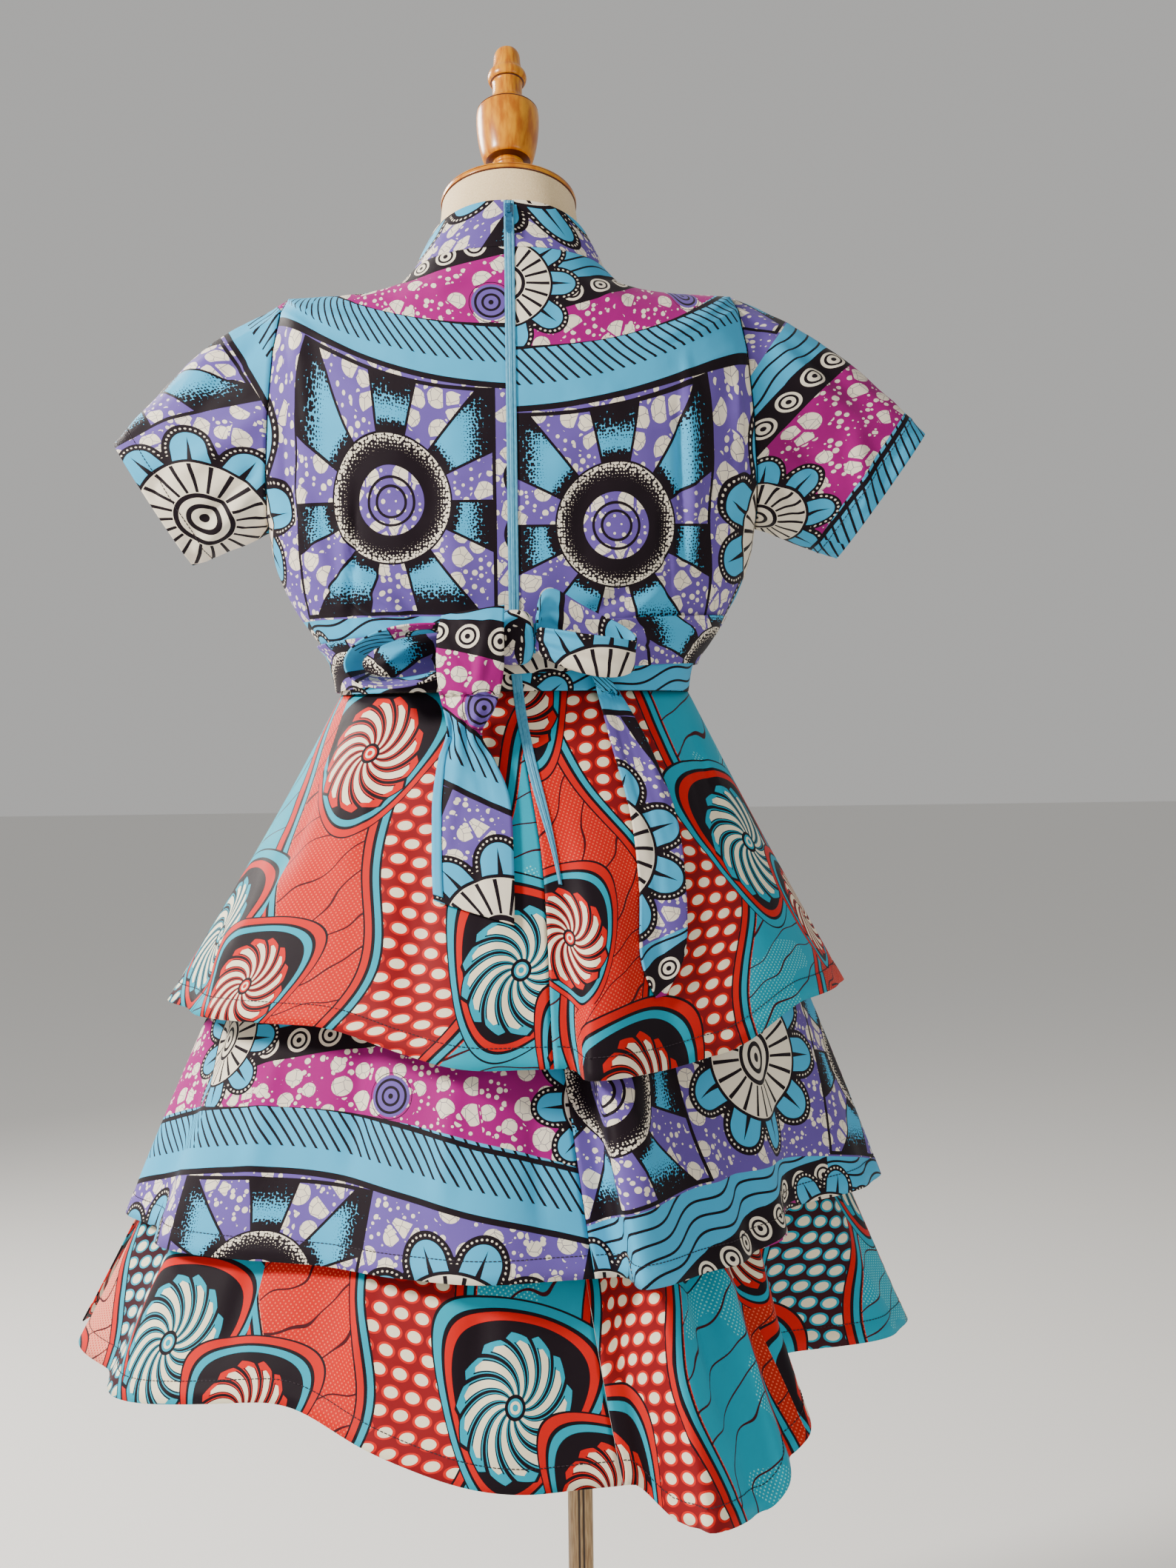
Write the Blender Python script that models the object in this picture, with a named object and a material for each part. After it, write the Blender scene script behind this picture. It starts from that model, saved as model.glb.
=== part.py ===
"""A wax print dress with three skirt tiers, a funnel collar and a sash bow, on a limbless form and pole stand.

Metres, +Z up. The origin is the centre of the base's underside.
The dress faces -Y and +X is the wearer's left.
"""

import math

import bmesh
import bpy
from mathutils import Matrix, Vector

# cloth and seams
CLOTH = 0.0012
HALF = CLOTH / 2
SEAM = 0.0003

# the form and the dress stand this far towards the wearer's left of the pole
BODY_X = 0.0466

# heights
WAIST_Z = 1.02
FORM_BOTTOM_Z = 0.80

# stand
BASE_RADIUS = 0.165
BASE_THICK = 0.022
POLE_RADIUS = 0.0106

# neck cap and finial, both tilted forward with the neck
NECK_TILT = math.radians(22)
CAP_RADIUS = 0.0565
CAP_THICK = 0.0065
CAP_CENTRE = Vector((0, -0.012, 1.4285))

# sleeves: the armhole seam, then the hem loop
SLEEVE_START = 0.0011
SLEEVE_TOP = {True: Vector((0.331, 0, 1.2315)), False: Vector((-0.3485, 0, 1.235))}
SLEEVE_UNDER = {True: Vector((0.268, 0, 1.131)), False: Vector((-0.2727, 0, 1.131))}
SLEEVE_DEPTH = 0.028
SLEEVE_CROWN = 0.013
SLEEVE_CROWN_LEAN = 0.35
SLEEVE_SQUARENESS = 0.15
SLEEVE_ROWS = 6

# columns of faces in a quarter of the bodice, and in each row of the sleeve
QUARTER = 8

# sash
SASH_STAND = 0.0021
SASH_HEIGHT = 0.040
SASH_Z = 1.0535
SASH_TILT = 0.0105

# zip
ZIP_WIDTH = 0.008
ZIP_THICK = 0.001
ZIP_STAND = HALF + SEAM + ZIP_THICK / 2

# over the top tier: from and to which cloth length, its lean round in degrees a metre, and its extra stand
ZIP_START = 0.002
ZIP_END = 0.165
ZIP_LEAN = 20
ZIP_SKIRT_LIFT = 0.0004
ZIP_SKIRT_STEPS = 7

# a row for each section of the bodice from the neck seam to the waist: the side edge, then the middle of
# the back and of the front. Rows 0 to 4 run along the shoulder, 5 to 9 along the armhole.
BODICE_COLUMNS = ("side_x", "side_y", "side_z", "back_y", "back_z", "front_y", "front_z")
BODICE_TABLE = (
    (0.0800, 0.0000, 1.3700, 0.0685, 1.3790, -0.0665, 1.3350),
    (0.0940, 0.0000, 1.3560, 0.0760, 1.3560, -0.0760, 1.3130),
    (0.1230, 0.0000, 1.3525, 0.0840, 1.3300, -0.0890, 1.2860),
    (0.1540, 0.0000, 1.3515, 0.0900, 1.3080, -0.0990, 1.2630),
    (0.1840, 0.0000, 1.3500, 0.0950, 1.2850, -0.1070, 1.2460),
    (0.1885, 0.0260, 1.3350, 0.0980, 1.2660, -0.1130, 1.2310),
    (0.1935, 0.0450, 1.3000, 0.1000, 1.2450, -0.1190, 1.2160),
    (0.1975, 0.0530, 1.2500, 0.1010, 1.2200, -0.1230, 1.2000),
    (0.2005, 0.0470, 1.2000, 0.1010, 1.1900, -0.1220, 1.1800),
    (0.2020, 0.0270, 1.1680, 0.1000, 1.1680, -0.1190, 1.1650),
    (0.2025, 0.0000, 1.1570, 0.0990, 1.1520, -0.1160, 1.1500),
    (0.1965, 0.0000, 1.1250, 0.0965, 1.1220, -0.1100, 1.1220),
    (0.1840, 0.0000, 1.0970, 0.0945, 1.0950, -0.1050, 1.0950),
    (0.1680, 0.0000, 1.0720, 0.0930, 1.0710, -0.1010, 1.0710),
    (0.1510, 0.0000, 1.0480, 0.0930, 1.0480, -0.0990, 1.0480),
    (0.1450, 0.0000, WAIST_Z, 0.0960, WAIST_Z, -0.0980, WAIST_Z),
)
SHOULDER_ROWS = 4
UNDERARM_ROW = 10
ROUNDNESS = 2.35
MIDDLE_DIP = 1.6

# the form under the cloth, from the shoulder down
FORM_COLUMNS = ("side_x", "side_z", "back_y", "back_z", "front_y", "front_z")
FORM_TABLE = (
    (0.1640, 1.3420, 0.0905, 1.2830, -0.1020, 1.2430),
    (0.1710, 1.3240, 0.0935, 1.2620, -0.1070, 1.2250),
    (0.1710, 1.2950, 0.0950, 1.2380, -0.1130, 1.2080),
    (0.1650, 1.2500, 0.0955, 1.2100, -0.1165, 1.1880),
    (0.1580, 1.2000, 0.0940, 1.1800, -0.1150, 1.1680),
    (0.1500, 1.1500, 0.0910, 1.1400, -0.1070, 1.1350),
    (0.1380, 1.0900, 0.0870, 1.0900, -0.0970, 1.0900),
    (0.1290, 1.0400, 0.0850, 1.0400, -0.0890, 1.0400),
    (0.1300, 1.0000, 0.0860, 1.0000, -0.0880, 1.0000),
    (0.1450, 0.9400, 0.0960, 0.9400, -0.0920, 0.9400),
    (0.1580, 0.8800, 0.1040, 0.8800, -0.0960, 0.8800),
    (0.1610, 0.8400, 0.1040, 0.8400, -0.0960, 0.8400),
    (0.1560, 0.8150, 0.0990, 0.8150, -0.0920, 0.8150),
    (0.1380, FORM_BOTTOM_Z, 0.0850, FORM_BOTTOM_Z, -0.0800, FORM_BOTTOM_Z),
)

# collar, from its seam to its top edge
COLLAR_COLUMNS = ("side_x", "side_z", "back_y", "back_z", "front_y", "front_z")
COLLAR_TABLE = (
    (0.0800, 1.3700, 0.0685, 1.3790, -0.0665, 1.3350),
    (0.0735, 1.3830, 0.0640, 1.3990, -0.0690, 1.3550),
    (0.0660, 1.3960, 0.0590, 1.4190, -0.0705, 1.3750),
)

# skirt tiers from the innermost out: the cloth length at the sides, left and right, and the centre back dip,
# the hem's half-widths left and right and its half-depths back and front, and how its flare opens
TIER_COLUMNS = (
    "name", "length", "right_short", "dip", "left_long", "fold_long",
    "left", "right", "back", "front", "opening", "layer",
)
TIER_TABLE = (
    ("bottom_tier", 0.562, 0.000, 0.048, 0.016, 0.026, 0.349, 0.313, 0.272, 0.262, 1.38, 0),
    ("middle_tier", 0.459, 0.022, 0.003, 0.000, 0.000, 0.309, 0.292, 0.243, 0.238, 0.95, 1),
    ("top_tier", 0.286, 0.012, 0.026, 0.000, 0.004, 0.281, 0.268, 0.226, 0.218, 1.00, 2),
)
TIER_PITCH = CLOTH + SEAM
WAIST_SIDE = 0.1435
WAIST_BACK = 0.0945
WAIST_FRONT = 0.0965

# vertical folds: where round the waist in degrees (0 the wearer's left, 90 the back), reach to each side in
# degrees, depth in metres (a valley is below zero), and the cloth lengths over which it grows
FOLD_COLUMNS = ("angle", "before", "after", "depth", "start", "full")
FOLD_TABLE = (
    (2, 20, 17, 0.021, 0.05, 0.50),
    (33, 16, 20, 0.022, 0.05, 0.50),
    (60, 14, 12, -0.014, 0.10, 0.58),
    (79, 9, 9, 0.009, 0.03, 0.40),
    (100, 6.5, 15, 0.046, 0.07, 0.40),
    (115, 10, 10, 0.024, 0.20, 0.52),
    (150, 20, 22, -0.078, 0.24, 0.62),
    (182, 12, 16, 0.014, 0.05, 0.50),
    (208, 16, 16, 0.022, 0.05, 0.50),
    (242, 17, 17, 0.026, 0.05, 0.50),
    (276, 16, 17, 0.024, 0.05, 0.50),
    (311, 17, 16, 0.026, 0.05, 0.50),
    (338, 12, 12, 0.018, 0.05, 0.50),
)

# the back's folds lean: they drift round by degrees for each metre of cloth, most at DRIFT_CENTRE, and a crest
# that stands out past the plain flare turns back by TWIST degrees for each metre that it stands out
DRIFT = 19
DRIFT_START = 3.5
DRIFT_CENTRE = 100
DRIFT_REACH = 48
TWIST = 150
PLAIN_WAIST = 0.098
PLAIN_FLARE = 0.33

# where round the waist the back's seam lies, in degrees, and the extra by which panels stand back from it
SEAM_ANGLE = 91
PANEL_EDGE = SEAM * 0.75

# the sash's knot: centre and half sizes
KNOT_CENTRE = Vector((0.0, 0.1107, 1.0620))
KNOT_HALF = Vector((0.0165, 0.0135, 0.0220))
KNOT_SQUARENESS = 0.7
KNOT_ROWS = 8
KNOT_COLUMNS = 20

# the bow's loops: where each leaves the knot, the way it runs, the way it gapes and the way its width lies,
# then how long and wide it is, how far its strands stand apart, how it follows the back and how its end flares
RIBBON = 0.0016
LOOP_LEFT = {
    "root": Vector((0.0174, 0.1125, 1.0600)), "along": Vector((0.985, 0, -0.17)).normalized(),
    "open_way": Vector((0.17, 0, 0.985)).normalized(), "side": Vector((0, 1, 0)),
    "length": 0.112, "width": 0.034, "root_width": 0.018, "gape": 0.021, "root_gap": 0.0045,
    "follow": 0.8, "flare": 0.35,
}
LOOP_RIGHT = {
    "root": Vector((-0.0174, 0.1165, 1.0620)), "along": Vector((-0.985, 0, -0.17)).normalized(),
    "open_way": Vector((0, -0.80, 0.60)), "side": Vector((-0.10, 0.15, 0.98)).normalized(),
    "length": 0.079, "width": 0.034, "root_width": 0.028, "gape": 0.012, "root_gap": 0.0035,
    "follow": 1.2, "flare": 0.0,
}
LOOP_STEPS = 18

# loose ends of the sash down the back: x and z of the middle line, how far it stands off the sash or the
# skirt, its width and how far its width turns from level, in degrees
END_COLUMNS = ("x", "z", "lift", "width", "turn")
FREE_LIFT = 0.008
END_LEFT_TABLE = (
    (0.0320, 1.0830, 0.0276, 0.050, 9),
    (0.0340, 1.0650, 0.0345, 0.052, 4),
    (0.0350, 1.0350, 0.0360, 0.052, -6),
    (0.0370, 1.0100, 0.0330, 0.043, -10),
    (0.0400, 0.9880, 0.0240, 0.027, -8),
    (0.0380, 0.9660, 0.0120, 0.044, -4),
    (0.0350, 0.9350, 0.0050, 0.060, 0),
    (0.0340, 0.8900, 0.0040, 0.063, -4),
    (0.0335, 0.8500, 0.0040, 0.064, -17),
)
END_RIGHT_TABLE = (
    (-0.0600, 1.0440, 0.0016, 0.020, -35),
    (-0.0760, 1.0180, 0.0050, 0.028, -30),
    (-0.0930, 0.9720, 0.0055, 0.034, -12),
    (-0.1080, 0.9200, 0.0050, 0.037, -4),
    (-0.1130, 0.8650, 0.0045, 0.037, 0),
    (-0.1110, 0.8150, 0.0045, 0.035, 4),
    (-0.1080, 0.7850, 0.0045, 0.008, 8),
)

# zip slider, from its own middle on the tape: along the zip, out from it, and half-width
SLIDER_OUTER = (
    (-0.0052, 0.0000, 0.0034),
    (-0.0050, 0.0020, 0.0030),
    (-0.0042, 0.0034, 0.0011),
    (-0.0034, 0.0054, 0.0011),
    (0.0034, 0.0054, 0.0011),
    (0.0042, 0.0034, 0.0011),
    (0.0050, 0.0020, 0.0030),
    (0.0052, 0.0000, 0.0034),
)
SLIDER_INNER = (
    (-0.0018, 0.0025, 0.0011),
    (-0.0028, 0.0025, 0.0011),
    (-0.0028, 0.0034, 0.0011),
    (-0.0024, 0.0044, 0.0011),
    (0.0024, 0.0044, 0.0011),
    (0.0028, 0.0034, 0.0011),
    (0.0028, 0.0025, 0.0011),
    (0.0018, 0.0025, 0.0011),
)
SLIDER_DOWN = 0.010
PULL_AXIS = 0.00345
PULL_LEVELS = (0.00045, -0.00045)

# the pull tab and the window that the slider's arch passes through: distance below the hinge axis, half-width
PULL_OUTLINE = (
    (-0.0005, 0.0021),
    (0.0020, 0.0025),
    (0.0052, 0.0025),
    (0.0090, 0.0023),
    (0.0140, 0.0027),
    (0.0180, 0.0028),
    (0.0205, 0.0022),
    (0.0220, 0.0009),
)
PULL_WINDOW = (
    (0.0005, 0.0015),
    (0.0018, 0.0016),
    (0.0032, 0.0016),
    (0.0042, 0.0016),
    (0.0046, 0.0013),
    (0.0048, 0.0010),
    (0.0049, 0.0007),
    (0.0050, 0.0003),
)

# finial, from its foot up: radius and height above the cap
FINIAL_PROFILE = (
    (0.0195, 0.0000),
    (0.0205, 0.0025),
    (0.0185, 0.0055),
    (0.0125, 0.0075),
    (0.0118, 0.0200),
    (0.0125, 0.0325),
    (0.0138, 0.0350),
    (0.0138, 0.0370),
    (0.0128, 0.0385),
    (0.0190, 0.0400),
    (0.0218, 0.0440),
    (0.0248, 0.0580),
    (0.0264, 0.0720),
    (0.0268, 0.0830),
    (0.0263, 0.0900),
    (0.0257, 0.0906),
    (0.0259, 0.0916),
    (0.0215, 0.0960),
    (0.0160, 0.1000),
    (0.0134, 0.1050),
    (0.0128, 0.1100),
    (0.0130, 0.1205),
    (0.0155, 0.1225),
    (0.0168, 0.1265),
    (0.0158, 0.1310),
    (0.0128, 0.1350),
    (0.0117, 0.1420),
    (0.0110, 0.1500),
    (0.0085, 0.1550),
    (0.0045, 0.1575),
)

# materials: colour, roughness
FINISHES = {
    "print_blue": ((0.18, 0.38, 0.58), 0.6),
    "print_red": ((0.50, 0.06, 0.05), 0.6),
    "linen": ((0.62, 0.52, 0.38), 0.85),
    "honey_wood": ((0.62, 0.30, 0.05), 0.3),
    "pale_wood": ((0.45, 0.33, 0.20), 0.5),
    "zip_blue": ((0.30, 0.58, 0.72), 0.5),
}


def material(name):
    """The named finish, made once."""
    if name in bpy.data.materials:
        return bpy.data.materials[name]
    colour, roughness = FINISHES[name]
    made = bpy.data.materials.new(name)
    made.use_nodes = True
    shader = made.node_tree.nodes["Principled BSDF"]
    shader.inputs["Base Color"].default_value = (*colour, 1)
    shader.inputs["Roughness"].default_value = roughness
    shader.inputs["Metallic"].default_value = 0.0
    return made


def table(columns, rows):
    """Each row as a dictionary under its column names."""
    return [dict(zip(columns, row)) for row in rows]


BODICE = table(BODICE_COLUMNS, BODICE_TABLE)
FORM = table(FORM_COLUMNS, FORM_TABLE)
COLLAR = table(COLLAR_COLUMNS, COLLAR_TABLE)
TIERS = table(TIER_COLUMNS, TIER_TABLE)
FOLDS = table(FOLD_COLUMNS, FOLD_TABLE)


def smooth(low, high, value):
    """0 below low, 1 above high, and an even S between."""
    share = min(max((value - low) / (high - low), 0.0), 1.0)
    return share * share * (3 - 2 * share)


def apart(angle, other):
    """The turn from other to angle, between -180 and 180 degrees."""
    return (angle - other + 180) % 360 - 180


def spread(start, end, step):
    """Values from start to end about a step apart."""
    count = max(round((end - start) / step), 1)
    return [start + (end - start) * index / count for index in range(count + 1)]


def curve(values, share):
    """A smooth step between the middle two of four values."""
    before, start, end, after = values
    slope = end - before
    bend = 2 * before - 5 * start + 4 * end - after
    turn = start * 3 - before - 3 * end + after
    return 0.5 * (2 * start + slope * share + bend * share**2 + turn * share**3)


def smooth_row(rows, place):
    """The rows of a table, read at a place between them."""
    index = min(int(place), len(rows) - 2)
    picked = [rows[min(max(index + shift, 0), len(rows) - 1)] for shift in (-1, 0, 1, 2)]
    return {key: curve([row[key] for row in picked], place - index) for key in rows[0]}


def cut_quad(points, face):
    """A face of four corners, cut along its shorter diagonal so that layers on each other cut alike."""
    if len(face) != 4:
        return [face]
    a, b, c, d = face
    if (points[a] - points[c]).length <= (points[b] - points[d]).length:
        return [[a, b, c], [a, c, d]]
    return [[a, b, d], [b, c, d]]


def add_mesh(name, points, faces, finish):
    """A mesh object in place, with its faces turned out and shaded smooth."""
    work = bmesh.new()
    corners = [work.verts.new(point) for point in points]
    for face in faces:
        for piece in cut_quad(points, face):
            work.faces.new([corners[index] for index in piece])
    bmesh.ops.recalc_face_normals(work, faces=work.faces)
    mesh = bpy.data.meshes.new(name)
    work.to_mesh(mesh)
    work.free()
    made = bpy.data.objects.new(name, mesh)
    bpy.context.collection.objects.link(made)
    made.data.materials.append(material(finish))
    made.data.shade_smooth()
    made.data.set_sharp_from_angle(angle=math.radians(40))
    return made


def grid_normals(grid, closed, flat_rows, flat_columns):
    """The normal at each point of a grid, kept off the axis that flat_rows or flat_columns give for an edge."""
    rows, columns = len(grid), len(grid[0])
    normals = []
    for row in range(rows):
        line = []
        for column in range(columns):
            down = grid[min(row + 1, rows - 1)][column] - grid[max(row - 1, 0)][column]
            if closed:
                along = grid[row][(column + 1) % columns] - grid[row][column - 1]
            else:
                along = grid[row][min(column + 1, columns - 1)] - grid[row][max(column - 1, 0)]
            normal = down.cross(along).normalized()
            for axis, edge in flat_rows:
                if row == edge % rows:
                    normal[axis] = 0
            for axis, edge in flat_columns:
                if column == edge % columns:
                    normal[axis] = 0
            line.append(normal.normalized())
        normals.append(line)
    return normals


def moved_out(grid, distance, closed=False, flat_rows=(), flat_columns=()):
    """The grid's points moved along its normals."""
    normals = grid_normals(grid, closed, flat_rows, flat_columns)
    return [[p + n * distance for p, n in zip(line, row)] for line, row in zip(grid, normals)]


def wall(name, grid, finish, thick=CLOTH, closed=False, flat_rows=(), flat_columns=()):
    """A closed wall of cloth, half of its thickness on each side of the grid."""
    rows, columns = len(grid), len(grid[0])
    outer = moved_out(grid, thick / 2, closed, flat_rows, flat_columns)
    inner = moved_out(grid, -thick / 2, closed, flat_rows, flat_columns)
    points = [point for side in (outer, inner) for line in side for point in line]
    count = rows * columns

    def at(side, row, column):
        return side * count + row * columns + column % columns

    faces = []
    last = columns if closed else columns - 1
    for row in range(rows - 1):
        for column in range(last):
            for side in (0, 1):
                corners = [
                    at(side, row, column),
                    at(side, row, column + 1),
                    at(side, row + 1, column + 1),
                    at(side, row + 1, column),
                ]
                faces.append(corners if side == 0 else corners[::-1])
    for column in range(last):
        for row in (0, rows - 1):
            near = [at(0, row, column), at(0, row, column + 1)]
            far = [at(1, row, column + 1), at(1, row, column)]
            faces.append(near + far)
    if not closed:
        for row in range(rows - 1):
            for column in (0, columns - 1):
                near = [at(0, row, column), at(0, row + 1, column)]
                far = [at(1, row + 1, column), at(1, row, column)]
                faces.append(near + far)
    return add_mesh(name, points, faces, finish)


def loft(name, rings, finish):
    """A closed solid through rings of points, with a flat cap on each end."""
    columns = len(rings[0])
    points = [point for ring in rings for point in ring]
    faces = [list(range(columns)), list(range(len(points) - columns, len(points)))]
    for row in range(len(rings) - 1):
        for column in range(columns):
            start, step = row * columns, (row + 1) * columns
            after = (column + 1) % columns
            faces.append([start + column, start + after, step + after, step + column])
    return add_mesh(name, points, faces, finish)


def lathe(name, profile, finish, place, segments=32):
    """A turned solid from (radius, height) pairs, moved by the matrix place."""
    rings = []
    for radius, height in profile:
        turns = [math.tau * index / segments for index in range(segments)]
        rings.append([place @ Vector((radius * math.cos(t), radius * math.sin(t), height)) for t in turns])
    return loft(name, rings, finish)


# bodice, collar and form share these sections


def section_point(side, middle_y, middle_z, share):
    """A point on the quarter section, from the side edge at share 0 to the middle of the back or front at 1."""
    half_power = ROUNDNESS / 2
    tall = (side.y / abs(middle_y)) ** ROUNDNESS
    full = side.x / (1 - tall) ** (1 / ROUNDNESS)
    start = math.atan2(tall**0.5, (side.x / full) ** half_power)
    angle = start + (math.pi / 2 - start) * share
    x = full * max(math.cos(angle), 0.0) ** (1 / half_power)
    y = middle_y * math.sin(angle) ** (1 / half_power) if angle > 0 else 0.0
    z = side.z + (middle_z - side.z) * math.sin(math.pi / 2 * share) ** MIDDLE_DIP
    return Vector((x, y, z))


def bodice_point(row, share, back, left):
    """A point of the bodice's section in the given row of the table."""
    side = Vector((row["side_x"], row["side_y"], row["side_z"]))
    middle = ("back_y", "back_z") if back else ("front_y", "front_z")
    point = section_point(side, row[middle[0]], row[middle[1]], share)
    if not left:
        point.x *= -1
    return point


def ring_point(row, angle):
    """A point on a whole ring, at an angle in degrees round from the wearer's left over the back."""
    turn = math.radians(angle)
    back = math.sin(turn) >= 0
    side = Vector((row["side_x"], 0.0, row["side_z"]))
    middle = ("back_y", "back_z") if back else ("front_y", "front_z")
    share = math.degrees(math.acos(abs(math.cos(turn)))) / 90
    point = section_point(side, row[middle[0]], row[middle[1]], share)
    if math.cos(turn) < 0:
        point.x *= -1
    return point


def bodice_ring_point(row, angle):
    """The bodice's section carried all the way round, at an angle in degrees."""
    whole = {key: row[key] for key in ("side_x", "side_z", "back_y", "back_z", "front_y", "front_z")}
    return ring_point(whole, angle)


def ring_angles():
    """Angles round a whole section."""
    return [360 * index / (4 * QUARTER) for index in range(4 * QUARTER)]


def quarter_grid(back, left):
    """A quarter of the bodice, its columns from the side to the middle."""
    return [
        [bodice_point(row, column / QUARTER, back, left) for column in range(QUARTER + 1)]
        for row in BODICE
    ]


def trim_waist(grid):
    """Half a seam above the waist."""
    for point in grid[-1]:
        point.z += SEAM / 2


def bodice():
    """The front and the two backs, half a seam apart from each other's edges."""
    for left in (True, False):
        grid = quarter_grid(True, left)
        sign = 1 if left else -1
        for row, line in enumerate(grid):
            line[-1].x = sign * SEAM / 2
            if row <= SHOULDER_ROWS or row >= UNDERARM_ROW:
                line[0].y += SEAM / 2
        trim_waist(grid)
        if left:
            flat_columns = ((1, 0), (0, -1))
        else:
            grid = [line[::-1] for line in grid]
            flat_columns = ((0, 0), (1, -1))
        name = "bodice_back_left" if left else "bodice_back_right"
        wall(name, grid, "print_blue", flat_rows=((2, 0), (2, -1)), flat_columns=flat_columns)
    left_grid, right_grid = quarter_grid(False, True), quarter_grid(False, False)
    front = []
    for row, (one, two) in enumerate(zip(left_grid, right_grid)):
        if row <= SHOULDER_ROWS or row >= UNDERARM_ROW:
            one[0].y -= SEAM / 2
            two[0].y -= SEAM / 2
        front.append(two + one[-2::-1])
    trim_waist(front)
    wall("bodice_front", front, "print_blue", flat_rows=((2, 0), (2, -1)), flat_columns=((1, 0), (1, -1)))


def collar():
    """One band round the neck, open by a seam at the centre back."""
    grid = []
    turns = [90 + 360 * index / (4 * QUARTER) for index in range(4 * QUARTER + 1)]
    for row in COLLAR:
        line = [ring_point(row, turn) for turn in turns]
        line[0].x = -SEAM / 2
        line[-1].x = SEAM / 2
        grid.append(line)
    for point in grid[0]:
        point.z += SEAM
    wall("collar", grid, "print_blue", flat_rows=((2, 0),), flat_columns=((0, 0), (0, -1)))


def armhole(left):
    """The armhole seam, from the shoulder down the back, under the arm and up the front."""
    rows = BODICE[SHOULDER_ROWS : UNDERARM_ROW + 1]
    back = [bodice_point(row, 0, True, left) for row in rows]
    front = [Vector((point.x, -point.y, point.z)) for point in back[-2:0:-1]]
    return back + front


def sleeves():
    """Each sleeve runs straight from its armhole to its hem, empty and pressed flat."""
    for left in (True, False):
        sign = 1 if left else -1
        seam = armhole(left)
        count = len(seam)
        middle = (SLEEVE_TOP[left] + SLEEVE_UNDER[left]) / 2
        rise = (SLEEVE_TOP[left] - SLEEVE_UNDER[left]) / 2
        up = Vector((SLEEVE_CROWN_LEAN * sign, 0, 1)).normalized()
        grid = []
        for row in range(SLEEVE_ROWS + 1):
            share = row / SLEEVE_ROWS
            line = []
            for column in range(2 * count):
                near = seam[(column // 2) % count]
                after = seam[((column + 1) // 2) % count]
                start = (near + after) / 2 + Vector((SLEEVE_START * sign, 0, 0))
                turn = math.pi * column / count
                depth = SLEEVE_DEPTH * math.sin(turn) * abs(math.sin(turn)) ** SLEEVE_SQUARENESS
                end = middle + rise * math.cos(turn) + Vector((0, depth, 0))
                crown = SLEEVE_CROWN * math.sin(math.pi * share) * max(math.cos(turn), 0)
                line.append(start.lerp(end, share) + up * crown)
            grid.append(line)
        name = "sleeve_left" if left else "sleeve_right"
        wall(name, grid, "print_blue", closed=True)


def form_torso():
    """The form: neck, then the shoulders that carry the cloth, then the body down to its flat underside."""
    down = Matrix.Rotation(NECK_TILT, 3, "X")
    neck = []
    for angle in ring_angles():
        turn = math.radians(angle)
        flat = Vector((math.cos(turn), math.sin(turn), 0)) * (CAP_RADIUS - 0.0005)
        neck.append(CAP_CENTRE + down @ (flat + Vector((0, 0, -SEAM))))
    middle = {
        "side_x": 0.0590, "side_z": 1.3960, "back_y": 0.0515, "back_z": 1.4170,
        "front_y": -0.0655, "front_z": 1.3730,
    }
    shoulder_rows = BODICE[: SHOULDER_ROWS + 1]
    shoulders = [[bodice_ring_point(row, angle) for angle in ring_angles()] for row in shoulder_rows]
    inset = moved_out(shoulders, -(HALF + 2 * SEAM), closed=True)[:SHOULDER_ROWS]
    rings = [neck, [ring_point(middle, angle) for angle in ring_angles()]] + inset
    rings += [[ring_point(row, angle) for angle in ring_angles()] for row in FORM]
    loft("form_torso", rings, "linen")


def cap_and_finial():
    """The wooden cap on the neck and the turned finial on it."""
    tilt = Matrix.Rotation(NECK_TILT, 4, "X")
    cap_profile = (
        (CAP_RADIUS - 0.0010, 0.0),
        (CAP_RADIUS + 0.0005, 0.0012),
        (CAP_RADIUS + 0.0005, CAP_THICK - 0.0018),
        (CAP_RADIUS - 0.0015, CAP_THICK),
    )
    lathe("neck_cap", cap_profile, "honey_wood", Matrix.Translation(CAP_CENTRE) @ tilt)
    foot = CAP_CENTRE + tilt @ Vector((0, 0, CAP_THICK + SEAM))
    lathe("finial", FINIAL_PROFILE, "honey_wood", Matrix.Translation(foot) @ tilt, 18)


def stand():
    """The flat base on the floor and the pole up to the form, at the origin beside the dress's middle."""
    base_profile = (
        (BASE_RADIUS - 0.001, 0.0),
        (BASE_RADIUS, 0.001),
        (BASE_RADIUS, BASE_THICK - 0.005),
        (BASE_RADIUS - 0.006, BASE_THICK),
    )
    lathe("base", base_profile, "pale_wood", Matrix.Identity(4), 48)
    pole_profile = ((POLE_RADIUS, BASE_THICK + SEAM), (POLE_RADIUS, FORM_BOTTOM_Z - SEAM))
    lathe("pole", pole_profile, "pale_wood", Matrix.Identity(4), 24)


# skirt


def ellipse(angle, left, right, back, front):
    """A point of a plan made of four quarter ellipses."""
    turn = math.radians(angle)
    across = left if math.cos(turn) > 0 else right
    deep = back if math.sin(turn) > 0 else front
    return Vector((across * math.cos(turn), deep * math.sin(turn), 0))


def fold_depth(angle, length):
    """How far the folds carry the cloth out, at an angle round the waist and a length of cloth below it."""
    depth = 0.0
    for fold in FOLDS:
        away = apart(angle, fold["angle"])
        reach = fold["before"] if away < 0 else fold["after"]
        if abs(away) < reach:
            shape = 0.5 + 0.5 * math.cos(math.pi * away / reach)
            depth += fold["depth"] * shape * smooth(fold["start"], fold["full"], length)
    return depth


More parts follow.
